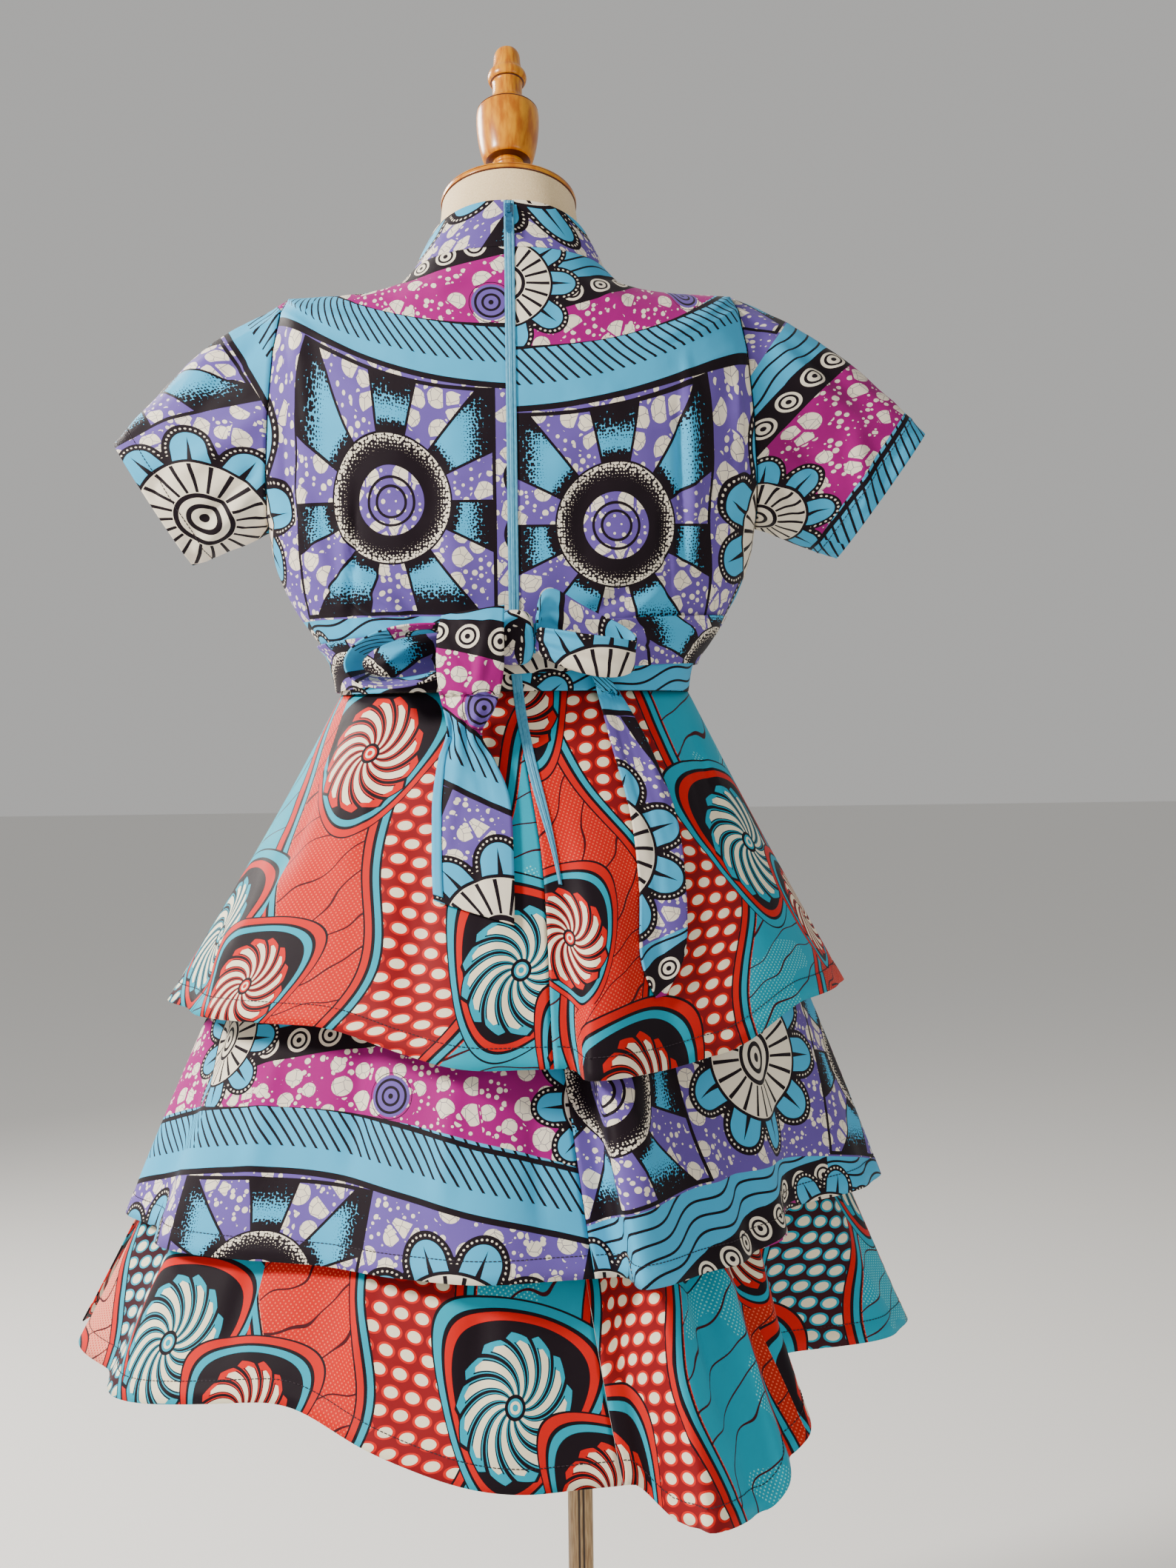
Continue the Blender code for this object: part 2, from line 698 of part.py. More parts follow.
def tier_length(tier, angle):
    """The cloth length from waist to hem."""
    back = smooth(54, 84, angle) * (1 - smooth(122, 150, angle))
    right = max(-math.cos(math.radians(angle)), 0) ** 2
    left = smooth(-20, 15, apart(angle, 0)) * (1 - smooth(30, 60, angle))
    fold = smooth(92, 97, angle) * (1 - smooth(110, 122, angle))
    length = tier["length"] - tier["right_short"] * right + tier["dip"] * back
    return length + tier["left_long"] * left + tier["fold_long"] * fold


def skirt_point(tier, angle, share):
    """A point of a tier, share of the way from the waist to its hem."""
    full = tier_length(tier, angle)
    length = full * share
    layer = (tier["layer"] - 1) * TIER_PITCH
    start = ellipse(angle, WAIST_SIDE + layer, WAIST_SIDE + layer, WAIST_BACK + layer, WAIST_FRONT + layer)
    hem = ellipse(angle, tier["left"], tier["right"], tier["back"], tier["front"])
    out = (hem - start) * share ** tier["opening"]
    whole = (hem - start).length
    drop = math.sqrt(max(full**2 - whole**2, 0)) * share if share > 0 else 0.0
    point = start + out
    radius = point.length + fold_depth(angle, length)
    turn = math.atan2(point.y, point.x)
    around = math.degrees(turn)
    near = max(1 - (apart(around, DRIFT_CENTRE) / DRIFT_REACH) ** 2, 0) ** 2
    plain = PLAIN_WAIST + PLAIN_FLARE * length
    drift = DRIFT * length + DRIFT_START * smooth(0.0, 0.15, length)
    turn += math.radians(near * (drift - TWIST * max(radius - plain, 0) * smooth(0.1, 0.3, length)))
    return Vector((radius * math.cos(turn), radius * math.sin(turn), WAIST_Z - drop))


def tier_rows(tier):
    """Shares of the way down, closer near the waist."""
    count = 6 - tier["layer"]
    return [0.0, 0.04] + [0.04 + 0.96 * index / count for index in range(1, count + 1)]


def open_seam(grid):
    """Moves the panel's edges in by half a seam and a little more, along the cloth."""
    for line in grid:
        for edge, inner in ((0, 1), (-1, -2)):
            along = (line[inner] - line[edge]).normalized()
            line[edge] += along * PANEL_EDGE


def tiers():
    """Each tier is a front and two backs, all sewn into the waist."""
    edge = math.degrees(SEAM / 2 / WAIST_SIDE)
    panels = (
        ("back_left", spread(edge, SEAM_ANGLE, 6.0)),
        ("back_right", spread(SEAM_ANGLE, 103, 1.5) + spread(103, 180 - edge, 6.0)[1:]),
        ("front", spread(180 + edge, 360 - edge, 7.2)),
    )
    for tier in TIERS:
        for panel, angles in panels:
            grid = []
            for share in tier_rows(tier):
                grid.append([skirt_point(tier, angle, share) for angle in angles])
            open_seam(grid)
            for point in grid[0]:
                point.z -= SEAM / 2
            finish = "print_blue" if tier["name"] == "middle_tier" else "print_red"
            wall(f"{tier['name']}_{panel}", grid, finish, flat_rows=((2, 0),))


def bodice_at(angle, height):
    """The bodice's surface above the waist, between the rows of its table."""
    rows = BODICE[UNDERARM_ROW + 1 :]
    for upper, lower in zip(rows, rows[1:]):
        if height >= lower["side_z"] or lower is rows[-1]:
            share = (upper["side_z"] - height) / (upper["side_z"] - lower["side_z"])
            return bodice_ring_point(upper, angle).lerp(bodice_ring_point(lower, angle), share)
    return None


def sash_band():
    """The sash round the waist, one ring over the zip, higher on the wearer's right."""
    grid = []
    for step in range(4):
        line = []
        for angle in ring_angles():
            middle = SASH_Z - SASH_TILT * math.cos(math.radians(angle))
            height = middle + SASH_HEIGHT * (0.5 - step / 3)
            point = bodice_at(angle, height)
            point.z = height
            line.append(point)
        grid.append(line)
    return moved_out(grid, CLOTH + SASH_STAND, closed=True)


def squared(value):
    """A sine or cosine drawn out towards its ends, which turns a circle into a rounded square."""
    return math.copysign(abs(value) ** KNOT_SQUARENESS, value)


def knot():
    """The wrap of the sash round its own ends, a block with well rounded edges."""
    rings = []
    for step in range(1, KNOT_ROWS):
        rise = math.pi * (step / KNOT_ROWS - 0.5)
        level = squared(math.sin(rise))
        size = squared(math.cos(rise))
        ring = []
        for index in range(KNOT_COLUMNS):
            turn = math.tau * index / KNOT_COLUMNS
            x = squared(math.cos(turn)) * size
            y = squared(math.sin(turn)) * size
            ring.append(KNOT_CENTRE + Vector((x * KNOT_HALF.x, y * KNOT_HALF.y, level * KNOT_HALF.z)))
        rings.append(ring)
    loft("sash_knot", rings, "print_blue")


def sash_loop(name, sizes):
    """A loop of the sash from its root at the knot: out, round its end and back."""
    root, along, open_way = sizes["root"], sizes["along"], sizes["open_way"]
    grid = []
    for step in range(LOOP_STEPS + 1):
        turn = math.tau * step / LOOP_STEPS
        round_share = math.sin(turn / 2)
        point = root + along * sizes["length"] * (1 - math.cos(turn)) / 2
        gape = sizes["gape"] * math.sin(turn) * round_share**0.7 + sizes["root_gap"] * math.cos(turn / 2)
        point = point + open_way * gape
        point.y -= sizes["follow"] * (point.x - root.x) ** 2
        width = sizes["root_width"] + (sizes["width"] - sizes["root_width"]) * round_share**0.8
        outward = (open_way * math.sin(turn) - along * math.cos(turn)) * sizes["flare"] * round_share
        way = (sizes["side"] + outward).normalized()
        grid.append([point + way * width * (k / 4 - 0.5) for k in range(5)])
    wall(name, grid, "print_blue", thick=RIBBON)


def skirt_at(x, z):
    """The y of the top tier's back at x and z, found by small steps from a rough place."""
    tier = TIERS[-1]
    rough_radius, careful_length, careful_radius = 0.2, 0.45, 0.3
    angle, share = 90 - math.degrees(math.asin(x / rough_radius)), 0.3
    for _ in range(40):
        point = skirt_point(tier, angle, share)
        share = min(max(share + (point.z - z) / careful_length, 0.0), 1.0)
        angle += math.degrees((point.x - x) / careful_radius)
    return point.y


def back_at(x, z):
    """The y of whatever lies outermost at the back: the sash band above the waist, the top tier below it."""
    if z < WAIST_Z - 0.002:
        return skirt_at(x, z)
    row = BODICE[-2]
    share = 1 - (abs(x) / row["side_x"]) ** ROUNDNESS
    return BODICE[-1]["back_y"] * share ** (1 / ROUNDNESS) + CLOTH + SASH_STAND + HALF


def sash_end(name, rows, cup):
    """A loose end of the sash, laid down the back, cupped where it stands free."""
    rows = table(END_COLUMNS, rows)
    grid = []
    for step in range(2 * (len(rows) - 1) + 1):
        row = smooth_row(rows, step / 2)
        turn = math.radians(row["turn"])
        line = []
        for k in range(5):
            across = (0.5 - k / 4) * row["width"]
            x = row["x"] + across * math.cos(turn)
            z = row["z"] - across * math.sin(turn)
            bend = cup * (1 - (k - 2) ** 2 / 4) * (row["lift"] > FREE_LIFT)
            line.append(Vector((x, back_at(x, z) + row["lift"] + RIBBON / 2 + bend, z)))
        grid.append(line)
    wall(name, grid, "print_blue", thick=RIBBON)


def sash():
    wall("sash_band", sash_band(), "print_blue", closed=True)
    knot()
    # the left loop stands open towards the back, the right loop lies flat with one strand over the other
    sash_loop("sash_loop_left", LOOP_LEFT)
    sash_loop("sash_loop_right", LOOP_RIGHT)
    sash_end("sash_tail_left", END_LEFT_TABLE, 0.003)
    sash_end("sash_tail_right", END_RIGHT_TABLE, 0.0)


def zip_line():
    """Points down the zip's middle, from just under the collar's edge to the sash."""
    top, below = (ring_point(row, 90) for row in COLLAR[:0:-1])
    return [top.lerp(below, 0.1), below] + [bodice_ring_point(row, 90) for row in BODICE[:-1]]


def zip_tape():
    """The zip's closed tapes, one strip on the outside of the centre back seam."""
    middle = zip_line()
    grid = []
    for index, point in enumerate(middle):
        down = middle[min(index + 1, len(middle) - 1)] - middle[max(index - 1, 0)]
        out = Vector((1, 0, 0)).cross(down).normalized()
        out = out if out.y > 0 else -out
        grid.append([point + out * ZIP_STAND + Vector((ZIP_WIDTH * k / 2, 0, 0)) for k in (1, 0, -1)])
    tier = TIERS[-1]
    skirt = []
    for step in range(ZIP_SKIRT_STEPS + 1):
        length = ZIP_START + (ZIP_END - ZIP_START) * step / ZIP_SKIRT_STEPS
        share = length / tier_length(tier, SEAM_ANGLE)
        angle = SEAM_ANGLE + ZIP_LEAN * length
        centre = skirt_point(tier, angle, share)
        reach = math.degrees(ZIP_WIDTH / 2 / centre.y)
        skirt.append([skirt_point(tier, angle + reach * k, share) for k in (-1, 0, 1)])
    grid += moved_out(skirt, ZIP_STAND + ZIP_SKIRT_LIFT)
    wall("zip_tape", grid, "zip_blue", thick=ZIP_THICK)


def slider_frame():
    """The slider's place near the top of the zip: X across, Y along the zip, Z out of the cloth."""
    top, below = ring_point(COLLAR[2], 90), ring_point(COLLAR[1], 90)
    along = (top - below).normalized()
    out = Vector((1, 0, 0)).cross(along).normalized()
    out = out if out.y > 0 else -out
    centre = top - along * SLIDER_DOWN + out * (ZIP_STAND + ZIP_THICK / 2 + SEAM)
    across = along.cross(out)
    frame = Matrix((across, along, out)).transposed().to_4x4()
    return Matrix.Translation(centre) @ frame


def ring_solid(name, near, far):
    """A solid ring between an outer and an inner outline on each of its two sides, matched point by point."""
    count = len(near[0])
    faces = []
    for a in range(count):
        b = (a + 1) % count
        faces.append([a, b, count + b, count + a])
        faces.append([2 * count + a, 3 * count + a, 3 * count + b, 2 * count + b])
        faces.append([a, 2 * count + a, 2 * count + b, b])
        faces.append([count + a, count + b, 3 * count + b, 3 * count + a])
    points = [point for outline in (*near, *far) for point in outline]
    return add_mesh(name, points, faces, "zip_blue")


def slider_side(outline, side, frame):
    """A side of the slider's arch in place."""
    return [frame @ Vector((side * half, along, out)) for along, out, half in outline]


def pull_side(outline, level):
    """A flat outline of the pull tab at a level, from its widths down one side and up the other."""
    right = [Vector((half, -down, level)) for down, half in outline]
    left = [Vector((-half, -down, level)) for down, half in outline[::-1]]
    return right + left


def zipper():
    zip_tape()
    frame = slider_frame()
    sides = [[slider_side(line, side, frame) for line in (SLIDER_OUTER, SLIDER_INNER)] for side in (1, -1)]
    ring_solid("zip_slider", *sides)
    sides = [[pull_side(line, level) for line in (PULL_OUTLINE, PULL_WINDOW)] for level in PULL_LEVELS]
    pull = ring_solid("zip_pull", *sides)
    pull.matrix_world = frame @ Matrix.Translation((0, 0, PULL_AXIS))


def build():
    for old in list(bpy.data.objects):
        bpy.data.objects.remove(old)
    stand()
    form_torso()
    cap_and_finial()
    bodice()
    collar()
    sleeves()
    tiers()
    sash()
    zipper()
    for made in bpy.data.objects:
        if made.name not in ("base", "pole"):
            made.location.x += BODY_X
    bpy.context.view_layer.update()


build()
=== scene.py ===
"""The looks of the wax print dress on its dress form: cloth, prints, sash, zip, wood, light and camera.

Metres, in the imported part's frame: +Z up, the dress faces -Y, +X is the wearer's left.
"""

import math

import bpy
from mathutils import Matrix, Vector, noise


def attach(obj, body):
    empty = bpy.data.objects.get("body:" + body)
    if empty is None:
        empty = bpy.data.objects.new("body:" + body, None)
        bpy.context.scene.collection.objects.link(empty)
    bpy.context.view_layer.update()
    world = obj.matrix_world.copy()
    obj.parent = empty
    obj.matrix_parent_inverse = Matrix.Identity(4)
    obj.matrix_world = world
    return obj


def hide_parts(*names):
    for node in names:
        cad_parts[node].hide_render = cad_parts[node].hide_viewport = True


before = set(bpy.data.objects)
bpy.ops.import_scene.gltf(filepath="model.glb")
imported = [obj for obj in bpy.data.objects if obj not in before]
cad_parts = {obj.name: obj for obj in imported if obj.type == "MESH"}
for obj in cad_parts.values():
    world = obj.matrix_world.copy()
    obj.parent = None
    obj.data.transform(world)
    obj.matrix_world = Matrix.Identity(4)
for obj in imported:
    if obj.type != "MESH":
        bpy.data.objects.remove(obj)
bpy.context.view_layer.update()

# cloth and seams, as in the part
CLOTH = 0.0012
HALF = CLOTH / 2
SEAM = 0.0003
RIBBON = 0.0016
BODY_X = 0.0466
WAIST_Z = 1.02

# stitches along the hems
HEM_DEPTH = 0.017
STITCH_PITCH = 0.0034
STITCH_LENGTH = 0.0026
STITCH_THICK = 0.0008
STITCH_GROOVE = 0.0022
HEM_FOLD = 0.0004

# sections of the bodice from the neck seam to the waist: the side edge, then the middle of the back and of
# the front. Rows 0 to 4 run along the shoulder, 5 to 9 along the armhole.
BODICE_COLUMNS = ("side_x", "side_y", "side_z", "back_y", "back_z", "front_y", "front_z")
BODICE_TABLE = (
    (0.0800, 0.0000, 1.3700, 0.0685, 1.3790, -0.0665, 1.3350),
    (0.0940, 0.0000, 1.3560, 0.0760, 1.3560, -0.0760, 1.3130),
    (0.1230, 0.0000, 1.3525, 0.0840, 1.3300, -0.0890, 1.2860),
    (0.1540, 0.0000, 1.3515, 0.0900, 1.3080, -0.0990, 1.2630),
    (0.1840, 0.0000, 1.3500, 0.0950, 1.2850, -0.1070, 1.2460),
    (0.1885, 0.0260, 1.3350, 0.0980, 1.2660, -0.1130, 1.2310),
    (0.1935, 0.0450, 1.3000, 0.1000, 1.2450, -0.1190, 1.2160),
    (0.1975, 0.0530, 1.2500, 0.1010, 1.2200, -0.1230, 1.2000),
    (0.2005, 0.0470, 1.2000, 0.1010, 1.1900, -0.1220, 1.1800),
    (0.2020, 0.0270, 1.1680, 0.1000, 1.1680, -0.1190, 1.1650),
    (0.2025, 0.0000, 1.1570, 0.0990, 1.1520, -0.1160, 1.1500),
    (0.1965, 0.0000, 1.1250, 0.0965, 1.1220, -0.1100, 1.1220),
    (0.1840, 0.0000, 1.0970, 0.0945, 1.0950, -0.1050, 1.0950),
    (0.1680, 0.0000, 1.0720, 0.0930, 1.0710, -0.1010, 1.0710),
    (0.1510, 0.0000, 1.0480, 0.0930, 1.0480, -0.0990, 1.0480),
    (0.1450, 0.0000, WAIST_Z, 0.0960, WAIST_Z, -0.0980, WAIST_Z),
)
SHOULDER_ROWS = 4
UNDERARM_ROW = 10
ROUNDNESS = 2.35

# the form under the cloth: a ring in the neck, then the body from the shoulder down
SECTION_COLUMNS = ("side_x", "side_z", "back_y", "back_z", "front_y", "front_z")
NECK_ROW = (0.0590, 1.3960, 0.0515, 1.4170, -0.0655, 1.3730)
FORM_TABLE = (
    (0.1640, 1.3420, 0.0905, 1.2830, -0.1020, 1.2430),
    (0.1710, 1.3240, 0.0935, 1.2620, -0.1070, 1.2250),
    (0.1710, 1.2950, 0.0950, 1.2380, -0.1130, 1.2080),
    (0.1650, 1.2500, 0.0955, 1.2100, -0.1165, 1.1880),
    (0.1580, 1.2000, 0.0940, 1.1800, -0.1150, 1.1680),
    (0.1500, 1.1500, 0.0910, 1.1400, -0.1070, 1.1350),
    (0.1380, 1.0900, 0.0870, 1.0900, -0.0970, 1.0900),
    (0.1290, 1.0400, 0.0850, 1.0400, -0.0890, 1.0400),
    (0.1300, 1.0000, 0.0860, 1.0000, -0.0880, 1.0000),
    (0.1450, 0.9400, 0.0960, 0.9400, -0.0920, 0.9400),
    (0.1580, 0.8800, 0.1040, 0.8800, -0.0960, 0.8800),
    (0.1610, 0.8400, 0.1040, 0.8400, -0.0960, 0.8400),
    (0.1560, 0.8150, 0.0990, 0.8150, -0.0920, 0.8150),
    (0.1380, 0.8000, 0.0850, 0.8000, -0.0800, 0.8000),
)

# collar, from its seam to its top edge
COLLAR_TABLE = (
    (0.0800, 1.3700, 0.0685, 1.3790, -0.0665, 1.3350),
    (0.0735, 1.3830, 0.0640, 1.3990, -0.0690, 1.3550),
    (0.0660, 1.3960, 0.0590, 1.4190, -0.0705, 1.3750),
)

# sleeves: hem corners on each side, how deep and how crowned
SLEEVE_START = 0.0011
SLEEVE_TOP = {True: Vector((0.331, 0, 1.2315)), False: Vector((-0.3485, 0, 1.235))}
SLEEVE_UNDER = {True: Vector((0.268, 0, 1.131)), False: Vector((-0.2727, 0, 1.131))}
SLEEVE_DEPTH = 0.028
SLEEVE_CROWN = 0.013
SLEEVE_CROWN_LEAN = 0.35
SLEEVE_SQUARENESS = 0.15

# skirt tiers from the innermost out, as in the part
TIER_COLUMNS = (
    "name", "length", "right_short", "dip", "left_long", "fold_long",
    "left", "right", "back", "front", "opening", "layer",
)
TIER_TABLE = (
    ("bottom_tier", 0.562, 0.000, 0.048, 0.016, 0.026, 0.349, 0.313, 0.272, 0.262, 1.38, 0),
    ("middle_tier", 0.459, 0.022, 0.003, 0.000, 0.000, 0.309, 0.292, 0.243, 0.238, 0.95, 1),
    ("top_tier", 0.286, 0.012, 0.026, 0.000, 0.004, 0.281, 0.268, 0.226, 0.218, 1.00, 2),
)
TIER_PITCH = CLOTH + SEAM
WAIST_SIDE = 0.1435
WAIST_BACK = 0.0945
WAIST_FRONT = 0.0965

# where round the waist, in degrees, each change of a tier's length comes in and goes out
DIP_IN = (54, 84)
DIP_OUT = (122, 150)
LEFT_IN = (-20, 15)
LEFT_OUT = (30, 60)
FOLD_IN = (92, 97)
FOLD_OUT = (110, 122)

# folds of the skirt: where round the waist in degrees, reach each way, depth, and where they grow
FOLD_COLUMNS = ("angle", "before", "after", "depth", "start", "full")
FOLD_TABLE = (
    (2, 20, 17, 0.021, 0.05, 0.50),
    (33, 16, 20, 0.022, 0.05, 0.50),
    (60, 14, 12, -0.014, 0.10, 0.58),
    (79, 9, 9, 0.009, 0.03, 0.40),
    (100, 6.5, 15, 0.046, 0.07, 0.40),
    (115, 10, 10, 0.024, 0.20, 0.52),
    (150, 20, 22, -0.078, 0.24, 0.62),
    (182, 12, 16, 0.014, 0.05, 0.50),
    (208, 16, 16, 0.022, 0.05, 0.50),
    (242, 17, 17, 0.026, 0.05, 0.50),
    (276, 16, 17, 0.024, 0.05, 0.50),
    (311, 17, 16, 0.026, 0.05, 0.50),
    (338, 12, 12, 0.018, 0.05, 0.50),
)

# how the folds of the back lean: degrees for each metre of cloth, the start of that, and where it is most.
# A crest that stands out past the plain flare turns back by TWIST degrees for each metre that it stands out.
DRIFT = 19
DRIFT_START = 3.5
DRIFT_GROWS = (0.0, 0.15)
DRIFT_CENTRE = 100
DRIFT_REACH = 48
TWIST = 150
TWIST_GROWS = (0.1, 0.3)
PLAIN_RADIUS = 0.098
PLAIN_FLARE = 0.33
SEAM_ANGLE = 91

# sash, its knot and its loose ends, as in the part
SASH_STAND = 0.0021
SASH_HEIGHT = 0.040
SASH_Z = 1.0535
SASH_TILT = 0.0105
KNOT_CENTRE = Vector((0.0, 0.1107, 1.0620))
KNOT_HALF = Vector((0.0165, 0.0135, 0.0220))
KNOT_SQUARENESS = 0.7
KNOT_PLEATS = 6
KNOT_PLEAT = 0.13
KNOT_TWIST = 2.6
KNOT_UNEVEN = 0.8
KNOT_ROWS = 40
KNOT_COLUMNS = 72
KNOT_PLACE = (0.215, 0.07)
KNOT_PRINT_STEP = (0.0014, 0.0013)
END_COLUMNS = ("x", "z", "lift", "width", "turn")
END_LEFT_TABLE = (
    (0.0320, 1.0830, 0.0276, 0.050, 9),
    (0.0340, 1.0650, 0.0345, 0.052, 4),
    (0.0350, 1.0350, 0.0360, 0.052, -6),
    (0.0370, 1.0100, 0.0330, 0.043, -10),
    (0.0400, 0.9880, 0.0240, 0.027, -8),
    (0.0380, 0.9660, 0.0120, 0.044, -4),
    (0.0350, 0.9350, 0.0050, 0.060, 0),
    (0.0340, 0.8900, 0.0040, 0.063, -4),
    (0.0335, 0.8500, 0.0040, 0.064, -17),
)
END_RIGHT_TABLE = (
    (-0.0600, 1.0440, 0.0016, 0.020, -35),
    (-0.0760, 1.0180, 0.0050, 0.028, -30),
    (-0.0930, 0.9720, 0.0055, 0.034, -12),
    (-0.1080, 0.9200, 0.0050, 0.037, -4),
    (-0.1130, 0.8650, 0.0045, 0.037, 0),
    (-0.1110, 0.8150, 0.0045, 0.035, 4),
    (-0.1080, 0.7850, 0.0045, 0.008, 8),
)

# zip
ZIP_WIDTH = 0.008
ZIP_START = 0.002
ZIP_END = 0.165
ZIP_TAPER = 0.085
ZIP_END_WIDTH = 0.3
ZIP_LEAN = 20
ZIP_SHEET = 0.0005
ZIP_COIL_PITCH = 0.0016
ZIP_COIL_BUMP = 0.00018

# from the zip's edge to its middle: the place as a share of half the width, and the height of tape and coil
ZIP_HALF_SECTION = (
    (1.00, 0.0000),
    (0.93, 0.0002),
    (0.46, 0.0003),
    (0.36, 0.0001),
    (0.27, 0.0007),
    (0.10, 0.0009),
)
ZIP_MIDDLE = (0.0, 0.0005)
ZIP_COIL_SHARE = 0.3

# stand: the pole's grooves face the back
BASE_RADIUS = 0.165
BASE_THICK = 0.022
POLE_RADIUS = 0.0106
FORM_BOTTOM_Z = 0.80
GROOVES = (math.radians(82), math.radians(104))
GROOVE_HALF = 0.0011
GROOVE_DEPTH = 0.0011

# turned pieces: where their end faces lie on the print, their segments, and the angle that makes a sharp edge
END_FACE_PLACE = 3
CAP_SEGMENTS = 96
FINIAL_SEGMENTS = 72
BASE_SEGMENTS = 128
SHARP_ANGLE = math.radians(50)

# neck cap and finial
NECK_TILT = math.radians(22)
CAP_RADIUS = 0.0565
CAP_THICK = 0.0065
CAP_CENTRE = Vector((0, -0.012, 1.4285))
CAP_PROFILE = (
    (CAP_RADIUS - 0.0010, 0.0),
    (CAP_RADIUS + 0.0002, 0.0006),
    (CAP_RADIUS + 0.0005, 0.0016),
    (CAP_RADIUS + 0.0005, CAP_THICK - 0.0022),
    (CAP_RADIUS + 0.0001, CAP_THICK - 0.0008),
    (CAP_RADIUS - 0.0015, CAP_THICK),
)
FINIAL_PROFILE = (
    (0.0195, 0.0000),
    (0.0205, 0.0025),
    (0.0185, 0.0055),
    (0.0125, 0.0075),
    (0.0118, 0.0200),
    (0.0125, 0.0325),
    (0.0138, 0.0350),
    (0.0138, 0.0370),
    (0.0128, 0.0385),
    (0.0190, 0.0400),
    (0.0218, 0.0440),
    (0.0248, 0.0580),
    (0.0264, 0.0720),
    (0.0268, 0.0830),
    (0.0263, 0.0900),
    (0.0257, 0.0906),
    (0.0259, 0.0916),
    (0.0215, 0.0960),
    (0.0160, 0.1000),
    (0.0134, 0.1050),
    (0.0128, 0.1100),
    (0.0130, 0.1205),
    (0.0155, 0.1225),
    (0.0168, 0.1265),
    (0.0158, 0.1310),
    (0.0128, 0.1350),
    (0.0117, 0.1420),
    (0.0110, 0.1500),
    (0.0085, 0.1550),
    (0.0045, 0.1575),
)

# painted shade round the cap and the finial: dark lines in their grooves and at their edges, each a height
# and half-width
CAP_SHADE_LINES = ((0.0003, 0.0006), (CAP_THICK - 0.0022, 0.0003))
FINIAL_SHADE_LINES = ((0.0909, 0.0008), (0.0393, 0.0007), (0.1216, 0.0004))


def table(columns, rows):
    """Each row as a dictionary under its column names."""
    return [dict(zip(columns, row)) for row in rows]


BODICE = table(BODICE_COLUMNS, BODICE_TABLE)
COLLAR = table(SECTION_COLUMNS, COLLAR_TABLE)
FORM = table(SECTION_COLUMNS, FORM_TABLE)
TIERS = table(TIER_COLUMNS, TIER_TABLE)
FOLDS = table(FOLD_COLUMNS, FOLD_TABLE)


def smooth(low, high, value):
    """0 below low, 1 above high, and an even S between."""
    share = min(max((value - low) / (high - low), 0.0), 1.0)
    return share * share * (3 - 2 * share)


def apart(angle, other):
    """The turn from other to angle, between -180 and 180 degrees."""
    return (angle - other + 180) % 360 - 180


def spread(start, end, step):
    """Values from start to end about a step apart."""
    count = max(round(abs(end - start) / step), 1)
    return [start + (end - start) * index / count for index in range(count + 1)]


def edged(shares, near):
    """Shares from 0 to 1 with more of them close to both ends."""
    inner = [share for share in shares if near[-1] < share < 1 - near[-1]]
    return [0.0] + list(near) + inner + [1 - share for share in near[::-1]] + [1.0]


def curve(values, share):
    """A smooth step between the middle two of four values."""
    before, start, end, after = values
    slope = end - before
    bend = 2 * before - 5 * start + 4 * end - after
    turn = start * 3 - before - 3 * end + after
    return 0.5 * (2 * start + slope * share + bend * share**2 + turn * share**3)


def smooth_row(rows, place):
    """The rows of a table, read at a place between them."""
    index = min(int(place), len(rows) - 2)
    picked = [rows[min(max(index + shift, 0), len(rows) - 1)] for shift in (-1, 0, 1, 2)]
    return {key: curve([row[key] for row in picked], place - index) for key in rows[0]}


# shapes shared with the part


def section_point(side, middle_y, middle_z, share):
    """A point on the quarter section from the side edge, share 0, to the middle of back or front, share 1."""
    half_power = ROUNDNESS / 2
    tall = (abs(side.y) / abs(middle_y)) ** ROUNDNESS
    full = side.x / (1 - tall) ** (1 / ROUNDNESS)
    start = math.atan2(tall**0.5, (side.x / full) ** half_power)
    angle = start + (math.pi / 2 - start) * share
    x = full * max(math.cos(angle), 0.0) ** (1 / half_power)
    y = middle_y * math.sin(angle) ** (1 / half_power) if angle > 0 else 0.0
    z = side.z + (middle_z - side.z) * math.sin(math.pi / 2 * share) ** 1.6
    return Vector((x, y, z))


def bodice_row(place):
    """The bodice's section at a place between its table's rows. Its shoulder and armhole run straight."""
    row = smooth_row(BODICE, place)
    if place < UNDERARM_ROW:
        index = int(place)
        share = place - index
        for key in ("side_x", "side_y", "side_z"):
            row[key] = BODICE[index][key] * (1 - share) + BODICE[index + 1][key] * share
    else:
        row["side_y"] = 0.0
    return row


def bodice_point(row, share, back, left):
    """A point of the bodice's section."""
    side = Vector((row["side_x"], row["side_y"], row["side_z"]))
    middle = ("back_y", "back_z") if back else ("front_y", "front_z")
    point = section_point(side, row[middle[0]], row[middle[1]], share)
    if not left:
        point.x *= -1
    return point


def ring_point(row, angle):
    """A point on a whole ring, at an angle in degrees round from the wearer's left over the back."""
    turn = math.radians(angle)
    side = Vector((row["side_x"], 0.0, row["side_z"]))
    middle = ("back_y", "back_z") if math.sin(turn) >= 0 else ("front_y", "front_z")
    share = math.degrees(math.acos(min(abs(math.cos(turn)), 1.0))) / 90
    point = section_point(side, row[middle[0]], row[middle[1]], share)
    if math.cos(turn) < 0:
        point.x *= -1
    return point


def armhole(left, step):
    """The armhole seam, from the shoulder down the back, under the arm and up the front."""
    places = spread(SHOULDER_ROWS, UNDERARM_ROW, step)
    back = [bodice_point(bodice_row(place), 0, True, left) for place in places]
    front = [Vector((point.x, -point.y, point.z)) for point in back[-2:0:-1]]
    return back + front


